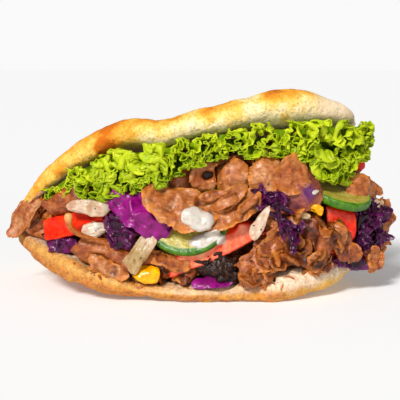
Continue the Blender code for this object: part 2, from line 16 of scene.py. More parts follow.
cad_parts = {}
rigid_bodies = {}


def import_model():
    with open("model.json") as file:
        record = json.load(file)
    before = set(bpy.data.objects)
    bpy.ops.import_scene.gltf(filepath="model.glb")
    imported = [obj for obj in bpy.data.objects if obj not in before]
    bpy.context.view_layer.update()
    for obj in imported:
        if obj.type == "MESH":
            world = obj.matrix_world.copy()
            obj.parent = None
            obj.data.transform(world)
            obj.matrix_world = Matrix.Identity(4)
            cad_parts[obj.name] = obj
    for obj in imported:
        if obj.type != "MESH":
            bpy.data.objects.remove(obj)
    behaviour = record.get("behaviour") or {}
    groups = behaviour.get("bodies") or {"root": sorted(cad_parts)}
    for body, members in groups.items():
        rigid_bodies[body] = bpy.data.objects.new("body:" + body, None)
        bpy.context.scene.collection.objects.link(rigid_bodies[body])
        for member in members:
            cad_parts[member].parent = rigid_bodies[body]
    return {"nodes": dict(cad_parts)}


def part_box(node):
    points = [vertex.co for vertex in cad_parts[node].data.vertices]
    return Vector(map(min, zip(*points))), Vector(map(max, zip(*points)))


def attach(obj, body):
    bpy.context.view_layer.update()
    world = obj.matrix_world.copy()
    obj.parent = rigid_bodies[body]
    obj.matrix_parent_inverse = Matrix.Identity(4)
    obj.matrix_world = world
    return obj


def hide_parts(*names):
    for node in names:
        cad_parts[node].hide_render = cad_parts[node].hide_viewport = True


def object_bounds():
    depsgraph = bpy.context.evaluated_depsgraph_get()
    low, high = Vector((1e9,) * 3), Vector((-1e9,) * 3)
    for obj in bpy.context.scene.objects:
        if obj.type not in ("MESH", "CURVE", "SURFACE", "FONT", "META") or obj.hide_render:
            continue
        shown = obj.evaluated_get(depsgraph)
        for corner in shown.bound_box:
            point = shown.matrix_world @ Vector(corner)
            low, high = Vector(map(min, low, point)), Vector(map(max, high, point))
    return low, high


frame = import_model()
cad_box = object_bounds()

# ---------------------------------------------------------------------------------------------------------
# Bread. A leavened flatbread folded in two, baked golden on top with browned blisters and left pale and
# floury along the side of the mouth. The solid is divided finely, its facets are smoothed away, and the
# dough's unevenness, pits and wrinkles are raised on it.

MM = 0.001  # in metres
BREAD_CELL_MM = 1.18
OUTER_CLEAR_MM = 75  # a place on the bread that meets nothing within this distance is on its outside
BROWNED_SPOTS = [  # where each lies along X and up and its radius, in mm, and how strong it is
    (-84, 40, 14, 0.35), (-70, 60, 5, 0.5), (-47, 73, 5.5, 1.4), (-62, 74, 14, 0.2), (-38, 84, 13, 0.4),
    (-78, 52, 10, 0.2), (3, 90, 6, 0.6), (15, 90, 7, 0.45), (33, 99, 7, 0.6), (44, 99, 9, 0.4),
    (40, 88, 4, 0.35), (-20, 86, 10, 0.35), (-45, 78, 7, 0.35), (55, 98, 8, 0.2),
]
STAINS = ((5, 10.5, 13), (66, 17, 7))  # red cabbage juice on the lower half: along X, height and width


def lumps(at, size, seed):
    """Smooth unevenness between about -1 and 1 at the points, in lumps of about that size."""
    at = np.asarray(at, float) / size + 31.7 * seed
    low = np.floor(at).astype(np.int64)
    part = at - low
    ease = part**3 * (part * (part * 6 - 15) + 10)
    total = np.zeros(len(at))
    for corner in np.ndindex(2, 2, 2):
        cell = low + corner
        key = (cell @ np.array([374761393, 668265263, 2147483647]) + seed * 974711) & 0xFFFFFFFF
        key = ((key ^ (key >> 13)) * 1274126177) & 0xFFFFFFFF
        turn = (key & 0xFFFF) / 0x8000 * np.pi
        rise = (key >> 16) / 0x8000 - 1
        flat = np.sqrt(1 - rise**2)
        away = part - corner
        slope = away[:, 0] * flat * np.cos(turn) + away[:, 1] * flat * np.sin(turn) + away[:, 2] * rise
        total += slope * np.prod(np.where(np.array(corner, bool), ease, 1 - ease), axis=1)
    return total * 1.6


def step_up(value, start, end):
    """0 below start, 1 above end, and smooth between."""
    part = np.clip((np.asarray(value, float) - start) / (end - start), 0, 1)
    return part * part * (3 - 2 * part)


def points_of(mesh):
    """The places of a mesh's vertices, in millimetres."""
    found = np.empty(len(mesh.vertices) * 3)
    mesh.vertices.foreach_get("co", found)
    return found.reshape(-1, 3) / MM


def normals_of(mesh):
    """The direction that each vertex faces."""
    found = np.empty(len(mesh.vertices) * 3, np.float32)
    mesh.vertex_normals.foreach_get("vector", found)
    return found.reshape(-1, 3).astype(float)


def edges_of(mesh):
    found = np.empty(len(mesh.edges) * 2, np.int32)
    mesh.edges.foreach_get("vertices", found)
    return found.reshape(-1, 2)


def move_points(mesh, points):
    mesh.vertices.foreach_set("co", (points * MM).ravel())
    mesh.update()


def hit_tree(mesh):
    """The mesh made ready for finding where rays hit it."""
    return BVHTree.FromPolygons([v.co[:] for v in mesh.vertices], [p.vertices[:] for p in mesh.polygons])


def mark(mesh, name, values):
    """Keeps one number for each vertex, for the materials to read."""
    kept = mesh.attributes.new(name, "FLOAT", "POINT")
    kept.data.foreach_set("value", np.asarray(values, np.float32))


def evened(values, edges, rounds):
    """Each vertex's value drawn towards its neighbours', that many times over."""
    values = np.asarray(values, float)
    columns = values.reshape(len(values), -1)
    count = np.bincount(edges.ravel(), minlength=len(values))[:, None].clip(1)
    for _ in range(rounds):
        around = np.stack(
            [
                np.bincount(edges[:, 0], c[edges[:, 1]], len(c))
                + np.bincount(edges[:, 1], c[edges[:, 0]], len(c))
                for c in columns.T
            ],
            axis=1,
        )
        columns = 0.4 * columns + 0.6 * around / count
    return columns.reshape(values.shape)


SHARP_ANGLE = 0.75  # in radians: a solid's edge that bends more than this is a true edge


def fine_copy(node, cell_mm, even_rounds=2, sharpness=0.85):
    """A finely divided copy of a CAD node's mesh: its facets are smoothed away and its true edges kept."""
    mesh = frame["nodes"][node].data.copy()
    welded = bmesh.new()
    welded.from_mesh(mesh)
    bmesh.ops.remove_doubles(welded, verts=welded.verts, dist=0.01 * MM)
    crease = welded.edges.layers.float.new("crease_edge")
    for edge in welded.edges:
        if len(edge.link_faces) == 2 and edge.calc_face_angle() > SHARP_ANGLE:
            edge[crease] = sharpness
    welded.to_mesh(mesh)
    welded.free()
    rough = bpy.data.objects.new("rough", mesh)
    bpy.context.scene.collection.objects.link(rough)
    rounding = rough.modifiers.new("Rounding", "SUBSURF")
    rounding.levels = 2
    dividing = rough.modifiers.new("Dividing", "REMESH")
    dividing.mode = "VOXEL"
    dividing.voxel_size = cell_mm * MM
    made = bpy.data.meshes.new_from_object(rough.evaluated_get(bpy.context.evaluated_depsgraph_get()))
    bpy.data.objects.remove(rough)
    bpy.data.meshes.remove(mesh)
    move_points(made, evened(points_of(made), edges_of(made), even_rounds))
    for attribute in list(made.attributes):
        if not attribute.is_required and not attribute.is_internal:
            made.attributes.remove(attribute)
    return made


def show(name, mesh, material, slot, *nodes):
    """Puts a finished mesh in the scene as a piece that stands for the given CAD nodes, if there are any."""
    mesh.materials.clear()
    mesh.materials.append(material)
    mesh.shade_smooth()
    piece = bpy.data.objects.new(name, mesh)
    bpy.context.scene.collection.objects.link(piece)
    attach(piece, "root")
    if nodes:
        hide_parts(*nodes)
    return piece


def paint(red, green, blue):
    """A colour given by its everyday 0 to 255 values, as the shaders want it."""
    parts = [v / 255 for v in (red, green, blue)]
    return [v / 12.92 if v <= 0.04045 else ((v + 0.055) / 1.055) ** 2.4 for v in parts] + [1.0]


def put(tree, kind, values=None, **settings):
    """Adds one shader node. values are numbers, colours or other nodes' outputs, by input."""
    made = tree.nodes.new("ShaderNode" + kind)
    for name, value in settings.items():
        setattr(made, name, value)
    for name, value in (values or {}).items():
        if isinstance(value, bpy.types.NodeSocket):
            tree.links.new(value, made.inputs[name])
        else:
            made.inputs[name].default_value = value
    return made


def blended(tree, factor, first, second, way="MIX"):
    """The output of a node that lays the second colour over the first by the factor."""
    return put(tree, "Mix", {0: factor, 6: first, 7: second}, data_type="RGBA", blend_type=way).outputs[2]


def sum_of(tree, first, second, way="ADD", hold=False):
    """Adds two numbers or outputs, or works them out another way. hold keeps the result from 0 to 1."""
    return put(tree, "Math", {0: first, 1: second}, operation=way, use_clamp=hold).outputs[0]


def read_mark(tree, name):
    return put(tree, "Attribute", attribute_name=name).outputs["Fac"]


def new_group(name, inputs, outputs):
    """A shader node group with named inputs {name: (kind, value)} and outputs {name: kind}."""
    group = bpy.data.node_groups.new(name, "ShaderNodeTree")
    for label, (kind, value) in inputs.items():
        socket = group.interface.new_socket(label, in_out="INPUT", socket_type="NodeSocket" + kind)
        socket.default_value = value
    for label, kind in outputs.items():
        group.interface.new_socket(label, in_out="OUTPUT", socket_type="NodeSocket" + kind)
    given = group.nodes.new("NodeGroupInput")
    result = group.nodes.new("NodeGroupOutput")
    return group, given.outputs, result.inputs


def new_material(name, **plain):
    """A material, its node tree and its Principled shader with the given plain values set."""
    material = bpy.data.materials.new(name)
    material.use_nodes = True
    shader = material.node_tree.nodes["Principled BSDF"]
    for label, value in plain.items():
        shader.inputs[label.replace("_", " ")].default_value = value
    return material, material.node_tree, shader


def soft_noise(tree, at, size, detail, rough=0.55):
    """Noise in lumps of the size, which is a length in the same unit as the places."""
    values = {"Vector": at, "Scale": sum_of(tree, 1.0, size, "DIVIDE"), "Detail": detail, "Roughness": rough}
    return put(tree, "TexNoise", values).outputs[0]


def from_to(tree, value, low, high):
    """The value stretched so that low gives 0 and high gives 1."""
    return put(tree, "MapRange", {"Value": value, "From Min": low, "From Max": high}, clamp=True).outputs[0]


# Unevenness of a food's surface: soft patches, small specks, a fine grain and the height of them all for
# the bump, with sizes and heights in millimetres.
unevenness, given, result = new_group(
    "Food unevenness",
    {
        "Patch Size": ("Float", 8.0),
        "Speck Size": ("Float", 1.0),
        "Speck Share": ("Float", 0.3),
        "Patch Height": ("Float", 0.3),
        "Grain Size": ("Float", 1.2),
        "Grain Height": ("Float", 0.1),
        "Stretch": ("Vector", (1.0, 1.0, 1.0)),
    },
    {"Patches": "Float", "Specks": "Float", "Grain": "Float", "Height": "Float"},
)
where = put(unevenness, "TexCoord").outputs["Object"]
in_mm = put(unevenness, "VectorMath", {0: where, "Scale": 1 / MM}, operation="SCALE").outputs[0]
drawn = put(unevenness, "VectorMath", {0: in_mm, 1: given["Stretch"]}, operation="MULTIPLY").outputs[0]
patches = soft_noise(unevenness, in_mm, given["Patch Size"], 3.0)
specks = soft_noise(unevenness, in_mm, given["Speck Size"], 1.0)
grain = soft_noise(unevenness, drawn, given["Grain Size"], 3.0, 0.6)
speck_from = sum_of(unevenness, 0.78, sum_of(unevenness, given["Speck Share"], 0.4, "MULTIPLY"), "SUBTRACT")
speck_to = sum_of(unevenness, speck_from, 0.08)
patch_height = sum_of(unevenness, patches, given["Patch Height"], "MULTIPLY")
grain_height = sum_of(unevenness, grain, given["Grain Height"], "MULTIPLY")
unevenness.links.new(from_to(unevenness, patches, 0.32, 0.68), result["Patches"])
unevenness.links.new(from_to(unevenness, specks, speck_from, speck_to), result["Specks"])
unevenness.links.new(from_to(unevenness, grain, 0.3, 0.7), result["Grain"])
unevenness.links.new(sum_of(unevenness, patch_height, grain_height), result["Height"])


def uneven_surface(tree, **values):
    """Places the unevenness in a material with its own values, and gives back its outputs."""
    made = put(tree, "Group")
    made.node_tree = unevenness
    for label, value in values.items():
        made.inputs[label.replace("_", " ")].default_value = value
    return made.outputs


def over(tree, colour, mask, share, laid):
    """The colour with another laid over it where the mask says, at most by the share."""
    return blended(tree, sum_of(tree, mask, share, "MULTIPLY", True), colour, laid)


def shaded_by(tree, value, first, between, last):
    """Runs from the first colour at 0 over the colours at their places between to the last one at 1."""
    made = put(tree, "ValToRGB", {"Fac": value})
    shades = made.color_ramp.elements
    shades[0].color = paint(*first)
    shades[1].color = paint(*last)
    for position, colour in between:
        shades.new(position).color = paint(*colour)
    return made.outputs[0]


def finish_surface(tree, shader, colour, height, strength=1.0):
    """Gives the shader its colour, and raises its shading by a height in millimetres."""
    bump = put(tree, "Bump", {"Height": height, "Distance": MM, "Strength": strength})
    tree.links.new(bump.outputs[0], shader.inputs["Normal"])
    tree.links.new(colour, shader.inputs["Base Color"])


bread = fine_copy("bread", BREAD_CELL_MM, even_rounds=4, sharpness=0.0)
at = points_of(bread)
x, y, z = at.T  # these follow every change to the points
out = normals_of(bread)
edges = edges_of(bread)

# A place is inside when something of the sandwich stands in front of it and faces it.
blockers = [hit_tree(frame["nodes"][n].data) for n in ("bread", "meat_heap")]
inside = np.zeros(len(at))
for k, (place, facing) in enumerate(zip(at, out)):
    facing = Vector(facing)
    start = Vector(place * MM) + facing * 1.5 * MM
    for blocker in blockers:
        met, faces_to = blocker.ray_cast(start, facing, OUTER_CLEAR_MM * MM)[:2]
        if met is not None and faces_to.dot(facing) < 0:
            inside[k] = 1
            break
inside = evened(inside, edges, 6)
mouth = 26 + 0.22 * (x + 96)  # the mouth between the two halves climbs towards the right
upper = step_up(z, mouth, mouth + 8)

# The crust swells, and is wrinkled and pitted most at the left end, and the crumb inside is finely torn.
left = step_up(-x, 30, 75)
swells = lumps(at, 15, 1) * 0.8 + lumps(at, 6, 2) * 0.3
wrinkles = np.abs(lumps(at * [1.0, 1.0, 0.6], 4.2, 3)) * (0.3 + 0.9 * left)
wrinkles += np.abs(lumps(at, 2.4, 4)) * 0.25
pits = step_up(lumps(at, 3.0, 5), 0.35, 0.8) * (0.2 + 0.4 * left)
at += out * (swells * (1 - 0.5 * inside) - (wrinkles + pits) * (1 - inside))[:, None]
at += out * (np.abs(lumps(at, 2.2, 6)) * -0.5 * inside)[:, None]

# The lip of the lower half swells forward at both ends, and the upper half has a hump and a dent.
lip_ends = step_up(-x, 30, 46) + step_up(x, 22, 36) * (1 - step_up(x, 62, 76))
lip = (1 - upper) * step_up(-y, 8, 26) * lip_ends
at += lip[:, None] * (out * 1.9 + [0, -2.4, 0.8])
hump = 2.2 * np.exp(-(((x + 38) / 12) ** 2))
dent = 1.8 * np.exp(-(((x + 20) / 7) ** 2))
at[:, 2] += upper * (hump - dent)

# The crusty front of the lower half is creased, and no part of the bread goes below the table.
crusty = (1 - upper) * step_up(-y, 4, 24) * (1 - 0.75 * step_up(x, 20, 44))
creases = np.abs(lumps(at, 3.4, 18)) + 0.4 * np.abs(lumps(at, 1.9, 19))
at += out * (crusty * (0.9 * lumps(at * [1, 1, 0.6], 6, 17) - creases))[:, None]
at[:, 2] = np.maximum(z, 0.02)
move_points(bread, at)

# Browned on top, in spots and blisters, along the underside of the lower half and round the fold.
facing_up = step_up(out[:, 2], 0.25, 0.9)
browned = 0.46 * facing_up * (0.6 + 0.6 * lumps(at, 14, 7)) * (1 - step_up(x, 46, 70) * 0.75)
browned += 0.3 * step_up(-x + 5 * lumps(at, 8, 16), 20, 44) * upper
front = step_up(-y, 0, 22)
for spot_x, spot_z, radius, strength in BROWNED_SPOTS:
    gap = np.hypot(x - spot_x, z - spot_z) / radius + 0.35 * lumps(at, 5, 8)
    browned += 0.85 * strength * (1 - step_up(gap, 0.2, 1.25)) * front * upper
blisters = step_up(lumps(at, 9, 9), 0.25, 0.7) * facing_up * upper
browned += 0.35 * blisters
lower_side = (1 - upper) * step_up(-out[:, 2], -0.55, 0.35) * (1 - 0.45 * step_up(x, 30, 60))
browned += lower_side * (0.6 + 0.3 * lumps(at, 9, 10) + 0.25 * lumps(at, 3.5, 14))
browned += 0.25 * (1 - upper) * step_up(-x, 20, 60)
behind = step_up(y + 5 * lumps(at, 12, 20), 2, 24)
round_the_fold = 0.32 + 0.34 * lumps(at, 17, 21) + 0.24 * lumps(at, 6, 22) + 0.2 * facing_up + 0.35 * blisters
browned += behind * (round_the_fold - browned)
mark(bread, "browned", np.clip(browned, 0, 1.4))

# Crumb shows inside and on the open face of the lower half, where cabbage juice stains it in two places.
crumb_part = 0.4 * step_up(x, -28, -10) + 0.45 * step_up(x, 26, 40)
open_side = out[:, 2] + 0.25 * lumps(at, 6, 12) + 0.4 * step_up(x, 20, 40)
crumb_face = (1 - upper) * crumb_part * step_up(open_side, 0.0, 0.45) * (1 - behind)
mark(bread, "crumb", np.maximum(inside, crumb_face))
stain = np.zeros(len(at))
for stain_x, stain_z, wide in STAINS:
    gap = np.hypot((x - stain_x) / wide, (z - stain_z) / 3.5) + 0.4 * lumps(at, 3, 13)
    stain = np.maximum(stain, (1 - step_up(gap, 0.3, 1.1)) * (1 - upper) * (1 - behind))
mark(bread, "stain", 0.75 * stain)

# The lower half is tanned, hollows are darkened with painted shade, and flour lies on the right end of the
# upper half.
tanned = (1 - upper) * (1 - 0.85 * behind) * (1 - 0.55 * step_up(x, 44, 64))
mark(bread, "tanned", tanned * (0.75 + 0.4 * lumps(at, 4, 15)))
proud = ((at - evened(at, edges, 10)) * normals_of(bread)).sum(1)
mark(bread, "hollow", evened(step_up(-proud, 0.0, 0.35), edges, 1) * (1 - inside))
mark(bread, "floury", 0.75 * upper * step_up(x + 6 * lumps(at, 9, 11), 46, 66))

crust, tree, shader = new_material(
    "Baked flatbread", Roughness=0.72, Specular_IOR_Level=0.12, Subsurface_Weight=0.06, Subsurface_Scale=0.002
)
skin = uneven_surface(
    tree, Patch_Size=5.0, Speck_Size=1.3, Speck_Share=0.6, Patch_Height=0.9, Grain_Size=1.5, Grain_Height=0.55
)
brown = sum_of(tree, read_mark(tree, "browned"), sum_of(tree, skin["Patches"], 0.22, "MULTIPLY"))
brown = sum_of(tree, brown, sum_of(tree, skin["Grain"], 0.16, "MULTIPLY"))
baked = shaded_by(
    tree,
    sum_of(tree, brown, 0.17, "SUBTRACT"),
    (250, 228, 180),
    ((0.18, (248, 218, 144)), (0.4, (246, 196, 90)), (0.66, (238, 160, 48))),
    (206, 104, 14),
)
baked = over(tree, baked, skin["Specks"], 0.42, paint(160, 116, 52))
baked = blended(tree, read_mark(tree, "floury"), baked, paint(240, 212, 180))
tan = blended(tree, skin["Grain"], paint(140, 74, 30), paint(212, 148, 90))
baked = over(tree, baked, read_mark(tree, "tanned"), 0.9, tan)
# Painted shade: the hollows of the crust are darkened.
baked = over(tree, baked, read_mark(tree, "hollow"), 0.5, paint(178, 96, 36))
crumb = blended(tree, skin["Grain"], paint(206, 166, 130), paint(250, 232, 206))
baked = blended(tree, read_mark(tree, "crumb"), baked, crumb)
juice = sum_of(tree, read_mark(tree, "stain"), sum_of(tree, skin["Patches"], 0.35), "MULTIPLY", True)
baked = blended(tree, juice, baked, paint(164, 62, 132))
finish_surface(tree, shader, baked, skin["Height"])
show("bread_crust", bread, crust, "crust", "bread")

# ---------------------------------------------------------------------------------------------------------
# Shaved meat. Thin slices cut from a turning spit: pinkish tan and fine grained inside, roasted brown on
# the side that faced the fire, and torn, thin and crisp along the edges. Each flat slice is a thin folded
# sheet grown over its CAD solid's outline and bend. Rolled slices and lumps keep their solids' form.

SLICE_THICK_MM = 1.4
SLICE_STEP_MM = 0.5
SLICES = {  # how far it spreads past its solid, folding, rim curl, tearing, bulge in mm, and how roasted
    "meat_04": (1.0, 1.8, 2.2, 0.26, 0.0, 0.4), "meat_05": (1.1, 1.0, 1.2, 0.16, 1.0, 0.6),
    "meat_06": (1.15, 1.2, 1.6, 0.1, 3.0, 0.7), "meat_08": (0.9, 1.2, 3.0, 0.06, 5.0, 0.4),
    "meat_09": (0.94, 0.9, 2.4, 0.06, 4.0, 0.26), "meat_10": (1.04, 0.9, 1.8, 0.06, 3.0, 0.52),
    "meat_11": (1.1, 1.4, 2.0, 0.1, 1.0, 0.3), "meat_12": (1.1, 1.5, 2.0, 0.05, 2.5, 0.36),
    "meat_13": (1.0, 1.5, 2.0, 0.05, 2.5, 0.44), "meat_14": (1.12, 0.8, 1.0, 0.05, 3.0, 0.84),
    "meat_15": (0.98, 1.4, 2.0, 0.2, 1.0, 0.62), "meat_25": (0.9, 1.2, 1.2, 0.04, 3.0, 0.56),
    "meat_26": (1.15, 1.8, 2.4, 0.16, 2.0, 0.65),
}


def flat_frame(node):
    """A flat solid's middle and its long, wide and thin directions, the thin one facing the front."""
    points = points_of(frame["nodes"][node].data)
    middle = (points.min(0) + points.max(0)) / 2
    _, _, ways = np.linalg.svd(points - points.mean(0), full_matrices=False)
    long = ways[0] * (1 if ways[0][0] > 0 else -1)
    thin = ways[2] * (1 if ways[2][1] < 0 else -1)
    return points, middle, np.stack([long, np.cross(thin, long), thin])


def sheet_faces(long, wide, start=0):
    """Quads of a grid of long x wide points, numbered from start."""
    row, column = np.meshgrid(np.arange(long - 1), np.arange(wide - 1), indexing="ij")
    first = (row * wide + column).ravel() + start
    return np.stack([first, first + wide, first + wide + 1, first + 1], axis=1)


def round_grid(rows, columns):
    """A square grid drawn out to a disc: how far out each point is, and its direction."""
    u, v = np.meshgrid(np.linspace(-1, 1, rows), np.linspace(-1, 1, columns), indexing="ij")
    across = u * np.sqrt(1 - v * v / 2)
    up = v * np.sqrt(1 - u * u / 2)
    return np.hypot(across, up).ravel(), np.arctan2(up, across).ravel()


def two_sided_faces(rows, columns):
    """Quads of two such grids, the second one behind the first and facing the other way."""
    return np.concatenate([sheet_faces(rows, columns), sheet_faces(rows, columns, rows * columns)[:, ::-1]])


def thin_body(flat, far, thick_mm, rows, columns):
    """Points and faces of a thin body over a disc grid of (x, y, z) points, thinnest at its rim."""
    half = thick_mm / 2 * np.sqrt(np.clip(1 - far**5, 0, 1)) * (1 - 0.45 * far**2)
    lifted = half[:, None] * [0, 0, 1]
    return np.concatenate([flat + lifted, flat - lifted]), two_sided_faces(rows, columns)


def ragged_outline(far, turn, seed, depth):
    """How much further or less far the rim reaches in each direction: part cut clean, part torn."""
    ring = np.stack([np.cos(turn) * 3.2, np.sin(turn) * 3.2, 0 * turn], axis=1)
    lobes = lumps(ring, 2.2, seed) + 0.4 * lumps(ring, 0.9, seed + 1)
    torn = step_up(lumps(ring, 2.4, seed + 9), -0.25, 0.3)
    tears = step_up(lumps(ring, 0.6, seed + 2), 0.15, 0.6) + 0.4 * lumps(ring, 0.26, seed + 8)
    return 1 + (0.08 + 0.5 * depth) * lobes * far**2 - depth * (0.25 + 1.1 * torn) * tears * far**4


def folded(x, y, far, fold_mm, curl_mm, seed, crumple_mm):
    """The height of a slice's folds, creases, ripples and curled rim over its flat plane."""
    place = np.stack([x, y, 0 * x], axis=1)
    ridges = 0.5 - np.abs(lumps(place * [1.0, 0.7, 1.0], 8, seed + 3)) * 2
    rolling = lumps(place, 11, seed + 4)
    rim = far**3 * lumps(place, 5.5, seed + 5) * 1.7
    creases = 0.4 - np.abs(lumps(place * [0.7, 1.2, 1.0], 3.6, seed + 6)) * 2
    ripples = 0.12 * lumps(place, 1.7, seed + 7)
    return fold_mm * (ridges + rolling) + curl_mm * rim + crumple_mm * creases + ripples


def evened_ring(values, rounds):
    """Each value that lies round a ring drawn towards the two beside it, that many times over."""
    for _ in range(rounds):
        values = 0.5 * values + 0.25 * np.roll(values, 1) + 0.25 * np.roll(values, -1)
    return values


def reach_of(rim, turns):
    """How far a convex outline round the origin reaches in each direction."""
    side = np.roll(rim, -1, axis=0) - rim
    reach = []
    for angle in turns:
        cross = math.cos(angle) * side[:, 1] - math.sin(angle) * side[:, 0]
        cross[np.abs(cross) < 1e-9] = 1e-9
        ahead = (rim[:, 0] * side[:, 1] - rim[:, 1] * side[:, 0]) / cross
        reach.append(min(f for f in ahead if f > 0))
    return np.array(reach)


def bend_terms(x, y, held_x, held_y):
    """What a slice's height is worked out from: a plane and a bend in each direction."""
    return np.stack([np.ones(len(x)), x, y, held_x**2, held_y**2], axis=1)


def slice_over(
    node, spread, fold_mm, curl_mm, thick_mm, seed,
    step_mm=SLICE_STEP_MM, tears=0.16, crumple_mm=0.4, bulge_mm=0.0,
):
    """A thin slice grown over a flat CAD solid: its outline and bend are the solid's."""
    points, middle, ways = flat_frame(node)
    local = (points - middle) @ ways.T
    across = [Vector(p[:2]) for p in local]
    rim = np.array([across[k] for k in geometry.convex_hull_2d(across)])
    middle_x, middle_y = (rim.max(0) + rim.min(0)) / 2
    size = np.ptp(rim, axis=0)
    rows, columns = (max(12, int(s / step_mm)) for s in size)
    far, turn = round_grid(rows, columns)
    turns = np.linspace(-np.pi, np.pi, 181)
    reach = evened_ring(reach_of(rim - [middle_x, middle_y], turns), 3)
    out_to = np.interp(turn, turns, reach) * spread * ragged_outline(far, turn, seed, tears)
    x = far * out_to * np.cos(turn) + middle_x
    y = far * out_to * np.sin(turn) + middle_y

    # Past the solid's own outline the slice goes on straight.
    bend = np.linalg.lstsq(bend_terms(*local.T[:2], *local.T[:2]), local[:, 2], rcond=None)[0]
    held_x = np.clip(x, local[:, 0].min(), local[:, 0].max())
    held_y = np.clip(y, local[:, 1].min(), local[:, 1].max())
    z = bend_terms(x, y, held_x, held_y) @ bend
    z += folded(x, y, far, fold_mm, curl_mm, seed, crumple_mm)
    z -= bulge_mm * (2 * (x - middle_x) / size[0]) ** 2 - bulge_mm / 4
    body, faces = thin_body(np.stack([x, y, z], axis=1), far, thick_mm, rows, columns)
    return middle + body @ ways, faces, np.concatenate([far, far])


RIM_REACH_MM = 5.0


def distance_from_rim(points, out, edges, proud_mm=0.22):
    """How far each vertex lies from the nearest sharp outer edge, up to the rim's reach."""
    proud = ((points - evened(points, edges, 6)) * out).sum(1)
    apart = np.where(proud > proud_mm, 0.0, RIM_REACH_MM)
    long = np.linalg.norm(points[edges[:, 0]] - points[edges[:, 1]], axis=1)
    for _ in range(int(RIM_REACH_MM / long.mean()) + 1):
        np.minimum.at(apart, edges[:, 0], apart[edges[:, 1]] + long)
        np.minimum.at(apart, edges[:, 1], apart[edges[:, 0]] + long)
    return apart


def torn_piece(node, cell_mm, thinning, tearing_mm, wave_mm, seed, layers_mm=0.0):
    """A thick piece's mesh from its CAD solid: its rim thinned and torn, its faces wavy and layered."""
    mesh = fine_copy(node, cell_mm)
    at = points_of(mesh)
    out = normals_of(mesh)
    edges = edges_of(mesh)
    apart = distance_from_rim(at, out, edges)
    near = 1 - step_up(apart, 0.0, 4.0)
    thin = evened(at, edges, 14)
    at += (thin - at) * (thinning * near)[:, None]
    edge = 1 - step_up(apart, 0.0, 1.6)
    tear = lumps(at, 3.2, seed) + 0.7 * lumps(at, 1.5, seed + 1)
    at += out * (tearing_mm * edge * (tear + 0.5 * thinning))[:, None]
    wave = np.stack([lumps(at, 8, seed + k) for k in (2, 3, 4)], axis=1)
    at += wave * wave_mm
    sheet = lumps(at * [1.0, 1.0, 0.6], 4.5, seed + 7) * 2.2 + lumps(at, 2.0, seed + 8) * 0.5
    ledge = np.floor(sheet) + step_up(sheet - np.floor(sheet), 0.0, 0.3)
    at += out * (layers_mm * (ledge - sheet.mean()))[:, None]
    at += out * (0.22 * lumps(at, 2.6, seed + 5) + 0.14 * lumps(at, 1.3, seed + 6))[:, None]
    move_points(mesh, evened(at, edges, 1))
    mark(mesh, "rim", evened(1 - step_up(apart, 0.0, 3.0), edges, 1))
    return mesh


meat, tree, shader = new_material("Roast meat", Specular_IOR_Level=0.4, Coat_Weight=0.08, Coat_Roughness=0.2)
fibre = uneven_surface(
    tree,
    Patch_Size=4.0,
    Speck_Size=1.1,
    Speck_Share=0.6,
    Patch_Height=0.5,
    Grain_Size=1.3,
    Grain_Height=0.45,
    Stretch=(0.55, 1.0, 1.0),
)
tone = sum_of(tree, fibre["Patches"], 0.6, "MULTIPLY")
tone = sum_of(tree, sum_of(tree, read_mark(tree, "tone"), tone), 0.31, "SUBTRACT")
roasted = shaded_by(
    tree,
    sum_of(tree, tone, 1.5, "DIVIDE", True),
    (218, 160, 114),
    ((0.22, (202, 128, 74)), (0.42, (180, 98, 34)), (0.62, (142, 64, 10)), (0.8, (86, 36, 8))),
    (34, 13, 8),
)
mottle = blended(tree, fibre["Grain"], paint(198, 176, 150), paint(255, 247, 234))
roasted = blended(tree, 1.0, roasted, mottle, "MULTIPLY")
# Orange along the rims: crisp roasted edges, and a painted glow of light shining through the thin edges.
crisp_and_glow = from_to(tree, read_mark(tree, "rim"), 0.62, 1.0)
crisp_and_glow = sum_of(tree, crisp_and_glow, from_to(tree, fibre["Patches"], 0.25, 0.6), "MULTIPLY", True)
roasted = over(tree, roasted, crisp_and_glow, 0.72, paint(230, 142, 52))
roasted = over(tree, roasted, fibre["Specks"], 0.26, paint(96, 44, 20))
roasted = blended(tree, read_mark(tree, "stain"), roasted, paint(96, 40, 96))
# Creases darkened: painted shade, with the juices that gather there.
roasted = over(tree, roasted, read_mark(tree, "hollow"), 0.85, paint(58, 24, 8))
greasy = put(tree, "MapRange", {"Value": fibre["Patches"], "To Min": 0.3, "To Max": 0.56}).outputs[0]
tree.links.new(greasy, shader.inputs["Roughness"])
finish_surface(tree, shader, roasted, fibre["Height"], 0.9)


def joined(name, parts):
    """One mesh from many (points, faces, marks) parts; marks is {name: values}."""
    points = np.concatenate([p for p, _, _ in parts])
    starts = np.cumsum([0] + [len(p) for p, _, _ in parts[:-1]])
    faces = np.concatenate([f + s for (_, f, _), s in zip(parts, starts)])
    mesh = bpy.data.meshes.new(name)
    mesh.from_pydata((points * MM).tolist(), [], faces.tolist())
    for label in parts[0][2]:
        mark(mesh, label, np.concatenate([m[label] for _, _, m in parts]))
    return mesh


HOLLOW_DEEP_MM = 0.45


def with_hollows(mesh):
    """The mesh with its creases marked, where the materials paint shade and gathered juices."""
    at = points_of(mesh)
    edges = edges_of(mesh)
    proud = ((at - evened(at, edges, 10)) * normals_of(mesh)).sum(1)
    mark(mesh, "hollow", evened(step_up(-proud, 0.04, HOLLOW_DEEP_MM), edges, 1))
    return mesh


def roasting(points, far, brownness, seed):
    """How roasted each point of a slice is: unevenly, and darker here and there along its edge."""
    uneven = 0.24 * lumps(points, 9, seed) + 0.14 * lumps(points, 3.5, seed + 1)
    return brownness + uneven + 0.5 * far**6 * step_up(lumps(points, 6, seed + 2), -0.1, 0.5)


